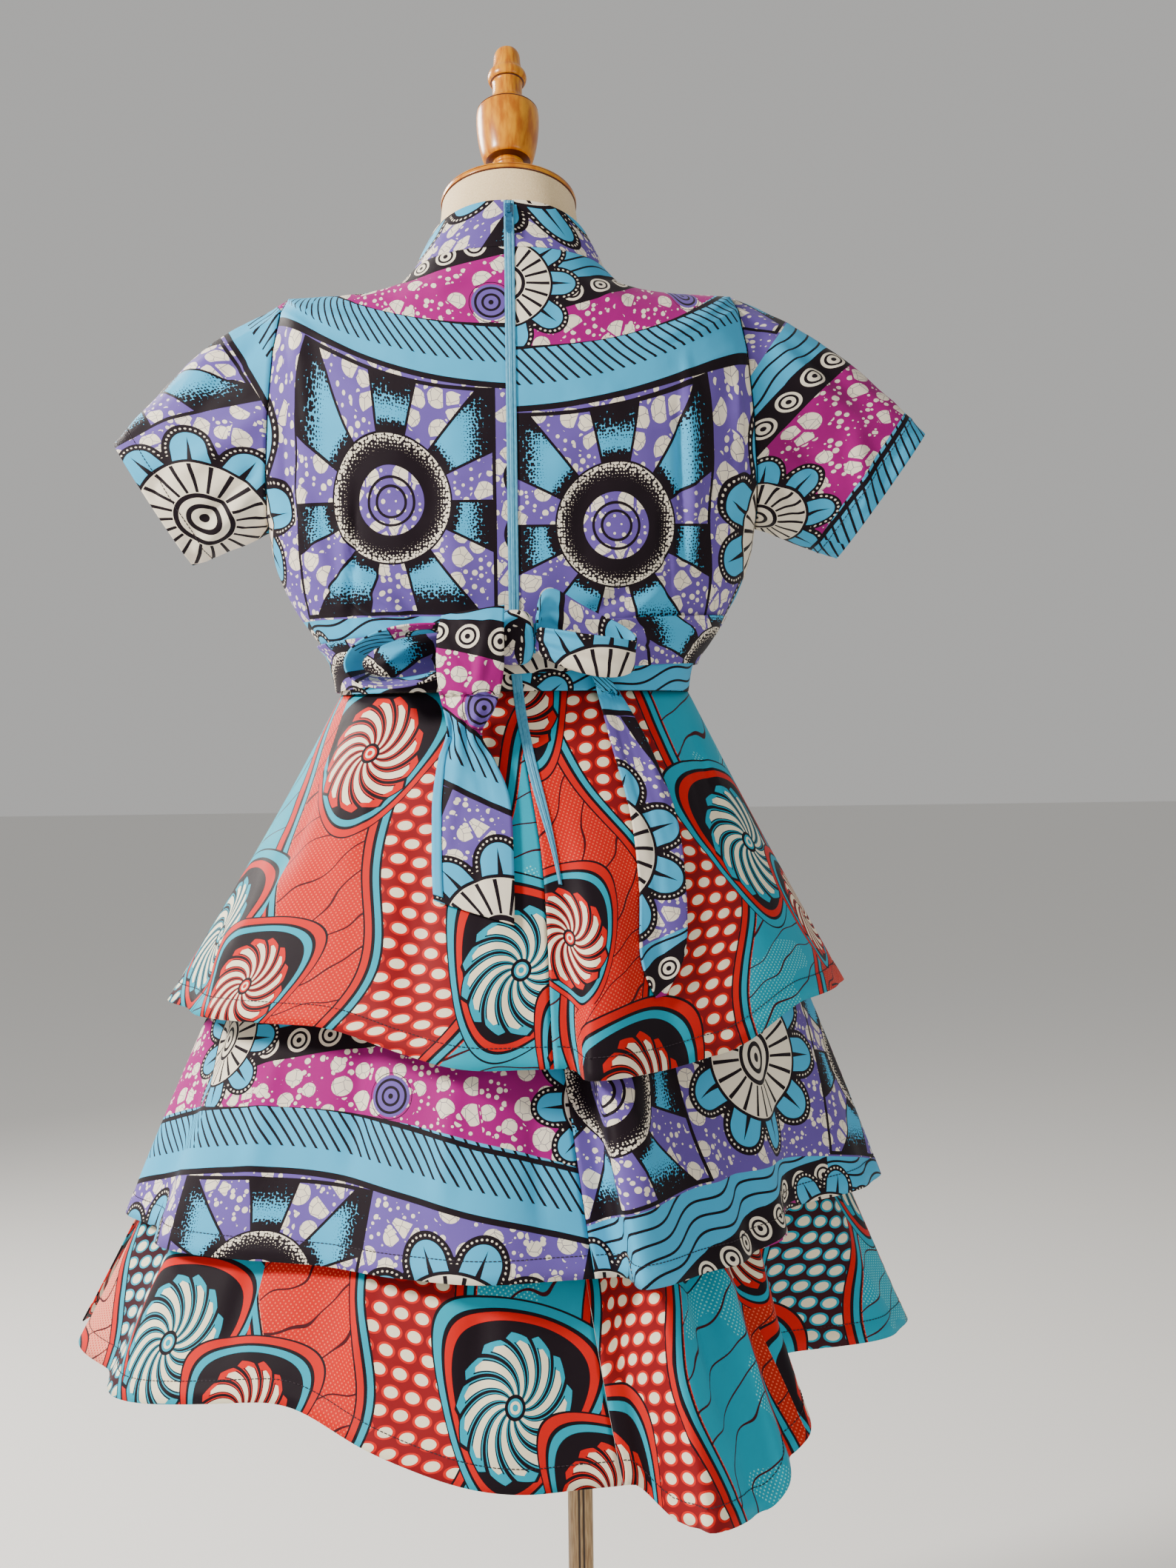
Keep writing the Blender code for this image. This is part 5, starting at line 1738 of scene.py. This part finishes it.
LOOP_COLUMNS = 24
LOOP_STEPS = 96
LOOP_LEFT = {
    "root": Vector((0.0174, 0.1125, 1.0600)), "along": Vector((0.985, 0, -0.17)).normalized(),
    "open_way": Vector((0.17, 0, 0.985)).normalized(), "side": Vector((0, 1, 0)), "corner": (0.05, 0.28),
    "length": 0.112, "gape": 0.021, "root_gap": 0.0045, "follow": 0.8, "width": 0.034, "root_width": 0.018,
    "flare": 0.35, "pleat": 0.0009, "back_root": 0.018, "back_lift": 0.0, "end_draw": 0.0,
}
LOOP_RIGHT = {
    "root": Vector((-0.0174, 0.1165, 1.0620)), "along": Vector((-0.985, 0, -0.17)).normalized(),
    "open_way": Vector((0, -0.80, 0.60)), "side": Vector((-0.10, 0.15, 0.98)).normalized(),
    "corner": (0.30, 0.018),
    "length": 0.079, "gape": 0.012, "root_gap": 0.0035, "follow": 1.2, "width": 0.037, "root_width": 0.015,
    "flare": 0.0, "pleat": 0.0013, "back_root": 0.030, "back_lift": 0.044, "end_draw": 0.013,
}


def sash_loop(name, sizes):
    """A loop of the sash from its root at the knot: out, round its end and back."""
    root, along, open_way = sizes["root"], sizes["along"], sizes["open_way"]
    grid = []
    for step in range(LOOP_STEPS + 1):
        turn = math.tau * step / LOOP_STEPS
        round_share = math.sin(turn / 2)
        point = root + along * sizes["length"] * (1 - math.cos(turn)) / 2
        gape = sizes["gape"] * math.sin(turn) * abs(round_share) ** 0.7
        gape += sizes["root_gap"] * math.cos(turn / 2)
        point = point + open_way * gape
        point.y -= sizes["follow"] * (point.x - root.x) ** 2
        point.z += sizes["back_lift"] * max(math.sin(turn), 0.0) * math.cos(turn / 2) ** 6
        at_root = sizes["back_root"] if step < LOOP_STEPS / 2 else sizes["root_width"]
        width = at_root + (sizes["width"] - at_root) * abs(round_share) ** 0.8
        width -= sizes["end_draw"] * abs(round_share) ** 10
        outward = (open_way * math.sin(turn) - along * math.cos(turn)) * sizes["flare"] * round_share
        way = (sizes["side"] + outward).normalized()
        grid.append([point + way * width * (k / LOOP_COLUMNS - 0.5) for k in range(LOOP_COLUMNS + 1)])
    prints = print_from_middle(grid, LOOP_COLUMNS // 2, sizes["corner"])

    def pleat(row, column):
        """Pleats that fan out from the knot, three across the width, and die away along the loop."""
        away = min(row, LOOP_STEPS - row) / LOOP_STEPS
        wave = math.cos(math.tau * 2.4 * column / LOOP_COLUMNS + 2.5 * away)
        return sizes["pleat"] * wave * smooth(0.0, 0.05, away) * (1 - smooth(0.12, 0.46, away))

    grid = pushed(grid, pleat)
    piece = dress_cloth(name, grid, prints, thick=RIBBON)
    declare(prints)


def skirt_at(x, z):
    """The y of the top tier's back at x and z."""
    tier = TIERS[-1]
    angle, share = 90.0 - math.degrees(math.asin(x / 0.2)), 0.3
    for _ in range(40):
        point = skirt_point(tier, angle, share)
        share = min(max(share + (point.z - z) / 0.45, 0.0), 1.0)
        angle += math.degrees((point.x - x) / 0.3)
    return point.y


def back_at(x, z):
    """The y of whatever lies outermost at the back: the sash band above the waist, the top tier below it."""
    if z < WAIST_Z - 0.002:
        return skirt_at(x, z)
    row = BODICE[-2]
    share = 1 - (abs(x) / row["side_x"]) ** ROUNDNESS
    return BODICE[-1]["back_y"] * share ** (1 / ROUNDNESS) + CLOTH + SASH_STAND + HALF


END_COUNT = 24
END_PLEAT = 0.0024
END_PLEATS = 2.6


def end_grid(rows, cup):
    """The middle surface of a loose end of the sash, laid down the back, with pleats where it is drawn in."""
    rows = table(END_COLUMNS, rows)
    widest = max(row["width"] for row in rows)
    grid = []
    for place in spread(0, len(rows) - 1, 0.0625):
        row = smooth_row(rows, place)
        turn = math.radians(row["turn"])
        drawn = smooth(0.15, 0.6, 1 - row["width"] / widest) * smooth(0.006, 0.012, row["lift"])
        line = []
        for index in range(END_COUNT + 1):
            share = index / END_COUNT
            across = (0.5 - share) * row["width"]
            x = row["x"] + across * math.cos(turn)
            z = row["z"] - across * math.sin(turn)
            bend = cup * (1 - (2 * share - 1) ** 2) * smooth(0.004, 0.012, row["lift"])
            bend += END_PLEAT * drawn * math.cos(math.tau * END_PLEATS * share + 0.7)
            line.append(Vector((x, back_at(x, z) + row["lift"] + RIBBON / 2 + bend, z)))
        grid.append(line)
    return grid


TURNED_TOP = 0.985
TURNED_BOTTOM = 0.862
TURNED_COLUMNS = 4
TURNED_THICK = 0.0006
TURNED_SKY = 0.0380
TURNED_STEP = 0.0026


def turned_edge(grid):
    """The narrow fold along the outer edge of a loose end, where the plain sky blue of the band shows."""
    rows = [line[:TURNED_COLUMNS] for line in grid if TURNED_BOTTOM < line[0].z < TURNED_TOP]
    rows = pushed(rows, (RIBBON + TURNED_THICK) / 2 + SEAM)
    down = steps_along([line[0] for line in rows])
    across = [TURNED_SKY + TURNED_STEP * column for column in range(TURNED_COLUMNS)]
    prints = [[(low, far) for far in across] for low in down]
    return cloth("sash_tail_left_turned_edge", rows, prints, FINISH["blue"], "print_blue", thick=TURNED_THICK)


def sash_end(name, rows, cup, corner, turn):
    grid = end_grid(rows, cup)
    prints = print_from_middle(grid, END_COUNT // 2, corner, turn)
    upright = print_from_middle(grid, END_COUNT // 2, corner)
    limits = {"low": -0.0012, "high": 0.0025}
    grid = worn(grid, CREASES[name], "sash_end", SEEDS["sash_end"], near=0.0, far=0.006, **limits)
    piece = dress_cloth(name, grid, prints, thick=RIBBON)
    extra = [turned_edge(grid)] if name == "sash_tail_left" else []
    declare(upright)


def sash():
    sash_band()
    knot()
    sash_loop("sash_loop_left", LOOP_LEFT)
    sash_loop("sash_loop_right", LOOP_RIGHT)
    sash_end("sash_tail_left", END_LEFT_TABLE, 0.003, (0.125, 0.275), -0.42)
    sash_end("sash_tail_right", END_RIGHT_TABLE, 0.0, (0.02, 0.0), 0.30)


def zip_path():
    """Frames down the zip: its middle on the cloth, the ways across and out, and its share of full width."""
    frames = []
    rows = [smooth_row(COLLAR, 2 - place) for place in spread(0.1, 1.9, 0.05)]
    rows += [bodice_row(place) for place in spread(0, len(BODICE) - 2, 0.05)]
    middle = [Vector((0, row["back_y"], row["back_z"])) for row in rows]
    across = Vector((-1, 0, 0))
    for index, point in enumerate(middle):
        down = middle[min(index + 1, len(middle) - 1)] - middle[max(index - 1, 0)]
        frames.append((point, across, across.cross(down).normalized() * -1, 1.0))
    tier = TIERS[-1]
    for length in spread(ZIP_START, ZIP_END, 0.0030):
        share = length / tier_length(tier, SEAM_ANGLE)
        angle = SEAM_ANGLE + ZIP_LEAN * length
        near = [skirt_point(tier, angle + turn, share) for turn in (-1, 0, 1)]
        below = skirt_point(tier, angle, share + 0.01)
        across = (near[2] - near[0]).normalized()
        out = (below - near[1]).cross(across).normalized()
        width = 1 - (1 - ZIP_END_WIDTH) * smooth(ZIP_TAPER, ZIP_END, length)
        frames.append((near[1], across, out, width))
    return frames


def finer(frames, step):
    """Frames about a step apart, straight between the given ones."""
    found = []
    for one, two in zip(frames, frames[1:]):
        count = max(round((two[0] - one[0]).length / step), 1)
        for index in range(count):
            share = index / count
            across = one[1].lerp(two[1], share).normalized()
            out = one[2].lerp(two[2], share).normalized()
            found.append((one[0].lerp(two[0], share), across, out, one[3] + (two[3] - one[3]) * share))
    return found + [frames[-1]]


def zip_strip():
    """The closed zip: two tapes and the coil between them, with a bump for each turn of the coil."""
    grid, prints, down = [], [], 0.0
    section = [(-share, high) for share, high in ZIP_HALF_SECTION] + [ZIP_MIDDLE, *ZIP_HALF_SECTION[::-1]]
    frames = finer(zip_path(), ZIP_COIL_PITCH / 2)
    for index, (point, across, out, width) in enumerate(frames):
        coil = ZIP_COIL_BUMP * (index % 2)
        line, row = [], []
        for share, high in section:
            lift = HALF + SEAM + ZIP_SHEET / 2 + high + (coil if abs(share) < ZIP_COIL_SHARE else 0)
            line.append(point + across * share * ZIP_WIDTH / 2 * width + out * lift)
            row.append((share * ZIP_WIDTH / 2, down))
        grid.append(line)
        prints.append(row)
        down += ZIP_COIL_PITCH / 2
    cloth("zip_strip", grid, prints, FINISH["tape"], "zip_blue", thick=ZIP_SHEET, replaces=("zip_tape",))


def cap_and_finial():
    """The turned cap and finial, tilted forward with the neck."""
    tilt = Matrix.Rotation(NECK_TILT, 4, "X")
    place = Matrix.Translation(CAP_CENTRE) @ tilt
    finish = FINISH["cap"]
    lathe("neck_cap_wood", CAP_PROFILE, finish, "honey_wood", place, CAP_SEGMENTS, replaces=("neck_cap",))
    foot = CAP_CENTRE + tilt @ Vector((0, 0, CAP_THICK + SEAM))
    rows = table(("radius", "height"), FINIAL_PROFILE)
    fine = []
    for place in spread(0, len(rows) - 1, 0.25):
        row = smooth_row(rows, place)
        fine.append((row["radius"], row["height"]))
    fine += [(0.0020, rows[-1]["height"] + 0.0005)]
    place = Matrix.Translation(foot) @ tilt
    lathe("finial_wood", fine, FINISH["finial"], "honey_wood", place, FINIAL_SEGMENTS, replaces=("finial",))


def grooved_pole():
    """The pole with two narrow grooves down its back."""
    columns = [math.radians(turn) for turn in spread(0, 360, 3)[:-1]]
    low, high = BASE_THICK + SEAM, FORM_BOTTOM_Z - SEAM
    grid, prints = [], []
    for height in spread(low, high, 0.05):
        line = []
        for turn in columns:
            off = min(abs(turn - groove) for groove in GROOVES) * POLE_RADIUS
            radius = POLE_RADIUS - GROOVE_DEPTH * (1 - smooth(GROOVE_HALF * 0.5, GROOVE_HALF, off))
            line.append(Vector((radius * math.cos(turn) - BODY_X, radius * math.sin(turn), height)))
        grid.append(line)
        prints.append([(turn * POLE_RADIUS, height) for turn in columns + [math.tau]])
    end = [(point.x, point.y) for point in grid[0]]
    add_piece("pole_wood", *tube(grid, prints, end, end), FINISH["pole"], "pale_wood", replaces=("pole",))


def stand():
    """The grooved pole and the turned base, which stand beside the dress's middle."""
    grooved_pole()
    edge, top = BASE_RADIUS, BASE_THICK
    profile = [
        (edge - 0.0010, 0.0), (edge, 0.0010), (edge, top - 0.0075),
        (edge - 0.0008, top - 0.0045), (edge - 0.0028, top - 0.0018), (edge - 0.0060, top),
        (edge - 0.0140, top), (edge - 0.0150, top - 0.0008), (edge - 0.0160, top),
        (POLE_RADIUS + 0.004, top),
    ]
    place = Matrix.Translation((-BODY_X, 0, 0))
    lathe("base_wood", profile, FINISH["pale"], "pale_wood", place, BASE_SEGMENTS, replaces=("base",))


FORM_STEP = 3
NECK_RINGS = 5
SHOULDER_RINGS = 3


def form():
    """The linen form: neck, shoulders just under the cloth, and the body down to its flat underside."""
    angles = spread(0, 360, FORM_STEP)[:-1]
    tilt = Matrix.Rotation(NECK_TILT, 3, "X")
    neck = []
    for angle in angles:
        turn = math.radians(angle)
        flat = Vector((math.cos(turn), math.sin(turn), 0)) * (CAP_RADIUS - 0.0005)
        neck.append(CAP_CENTRE + tilt @ (flat + Vector((0, 0, -SEAM))))
    middle = [ring_point(dict(zip(SECTION_COLUMNS, NECK_ROW)), angle) for angle in angles]
    places = spread(0, SHOULDER_ROWS, 0.25)
    shoulders = [[ring_point(bodice_row(place), angle) for angle in angles] for place in places]
    shoulders = pushed(shoulders, -(HALF + 2 * SEAM), closed=True)[: 1 - len(places) // SHOULDER_ROWS]
    body = [
        [ring_point(smooth_row(FORM, place), angle) for angle in angles]
        for place in spread(0, len(FORM) - 1, 0.25)
    ]
    rings = [neck]
    for one, two, steps in ((neck, middle, NECK_RINGS), (middle, shoulders[0], SHOULDER_RINGS)):
        for step in range(1, steps + (two is middle)):
            rings.append([a.lerp(b, step / steps) for a, b in zip(one, two)])
    rings += shoulders + body
    points = [point for ring in rings for point in ring]
    count = len(angles)
    faces = [list(range(count)), list(range(len(points) - count, len(points)))[::-1]]
    for row in range(len(rings) - 1):
        for column in range(count):
            top, low = row * count, (row + 1) * count
            after = (column + 1) % count
            faces.append([top + column, low + column, low + after, top + after])
    finish = FINISH["linen"]
    made = add_piece("form_torso_linen", points, faces, None, finish, "linen", replaces=("form_torso",))
    made.data.set_sharp_from_angle(angle=SHARP_ANGLE)


def cad_finishes():
    """Finishes of the parts that stay as the part has them."""
    for node in ("zip_slider", "zip_pull"):
        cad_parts[node].material_slots[0].material = FINISH["enamel"]


# floor, light and camera

CAMERA_DISTANCE = 1.87
CAMERA_HEIGHT = 0.98
CAMERA_FOCAL_PIXELS = 3000
PHOTO_TALL = 2117
PHOTO_MIDDLE = 794
DRESS_PIXEL = 697
CAMERA_PITCH = math.radians(-1.12)
CAMERA_ROLL = math.radians(-0.7)
SENSOR = 36


def camera():
    data = bpy.data.cameras.new("camera")
    data.sensor_width = SENSOR
    data.lens = CAMERA_FOCAL_PIXELS / PHOTO_TALL * SENSOR
    eye = bpy.data.objects.new("camera", data)
    bpy.context.collection.objects.link(eye)
    yaw = math.atan((PHOTO_MIDDLE - DRESS_PIXEL) / CAMERA_FOCAL_PIXELS)
    turns = (
        Matrix.Rotation(math.pi - yaw, 4, "Z")
        @ Matrix.Rotation(math.pi / 2 + CAMERA_PITCH, 4, "X")
        @ Matrix.Rotation(CAMERA_ROLL, 4, "Z")
    )
    eye.matrix_world = Matrix.Translation((BODY_X, CAMERA_DISTANCE, CAMERA_HEIGHT)) @ turns
    bpy.context.scene.camera = eye


def area_light(name, place, target, size, power, colour):
    data = bpy.data.lights.new(name, "AREA")
    data.shape = "DISK"
    data.size = size
    data.energy = power
    data.color = colour
    light = bpy.data.objects.new(name, data)
    bpy.context.collection.objects.link(light)
    light.location = place
    light.rotation_euler = (Vector(target) - Vector(place)).to_track_quat("-Z", "Y").to_euler()


FLOOR_REACH = 30


def studio():
    """A pale floor and soft light from all sides, brightest from above the camera."""
    mesh = bpy.data.meshes.new("floor")
    corners = [(x * FLOOR_REACH, y * FLOOR_REACH, 0) for x, y in ((-1, -1), (1, -1), (1, 1), (-1, 1))]
    mesh.from_pydata(corners, [], [(0, 1, 2, 3)])
    floor = bpy.data.objects.new("floor", mesh)
    bpy.context.collection.objects.link(floor)
    mesh.materials.append(plain_material("pale_floor", (0.80, 0.79, 0.77), 0.9))
    world = bpy.data.worlds.new("studio")
    world.use_nodes = True
    world.node_tree.nodes["Background"].inputs["Color"].default_value = (0.82, 0.81, 0.79, 1)
    world.node_tree.nodes["Background"].inputs["Strength"].default_value = 0.58
    bpy.context.scene.world = world
    middle = (BODY_X, 0, 1.0)
    warm = (1.0, 0.95, 0.88)
    area_light("key", (2.4, 1.3, 2.4), middle, 0.6, 180, warm)
    area_light("fill", (-1.6, 2.3, 1.2), middle, 1.4, 14, warm)
    area_light("front", (1.9, -1.7, 2.3), middle, 0.9, 110, warm)


def main():
    camera()
    studio()
    bodice()
    collar()
    sleeves()
    tiers()
    sash()
    zip_strip()
    form()
    cap_and_finial()
    stand()
    cad_finishes()


main()
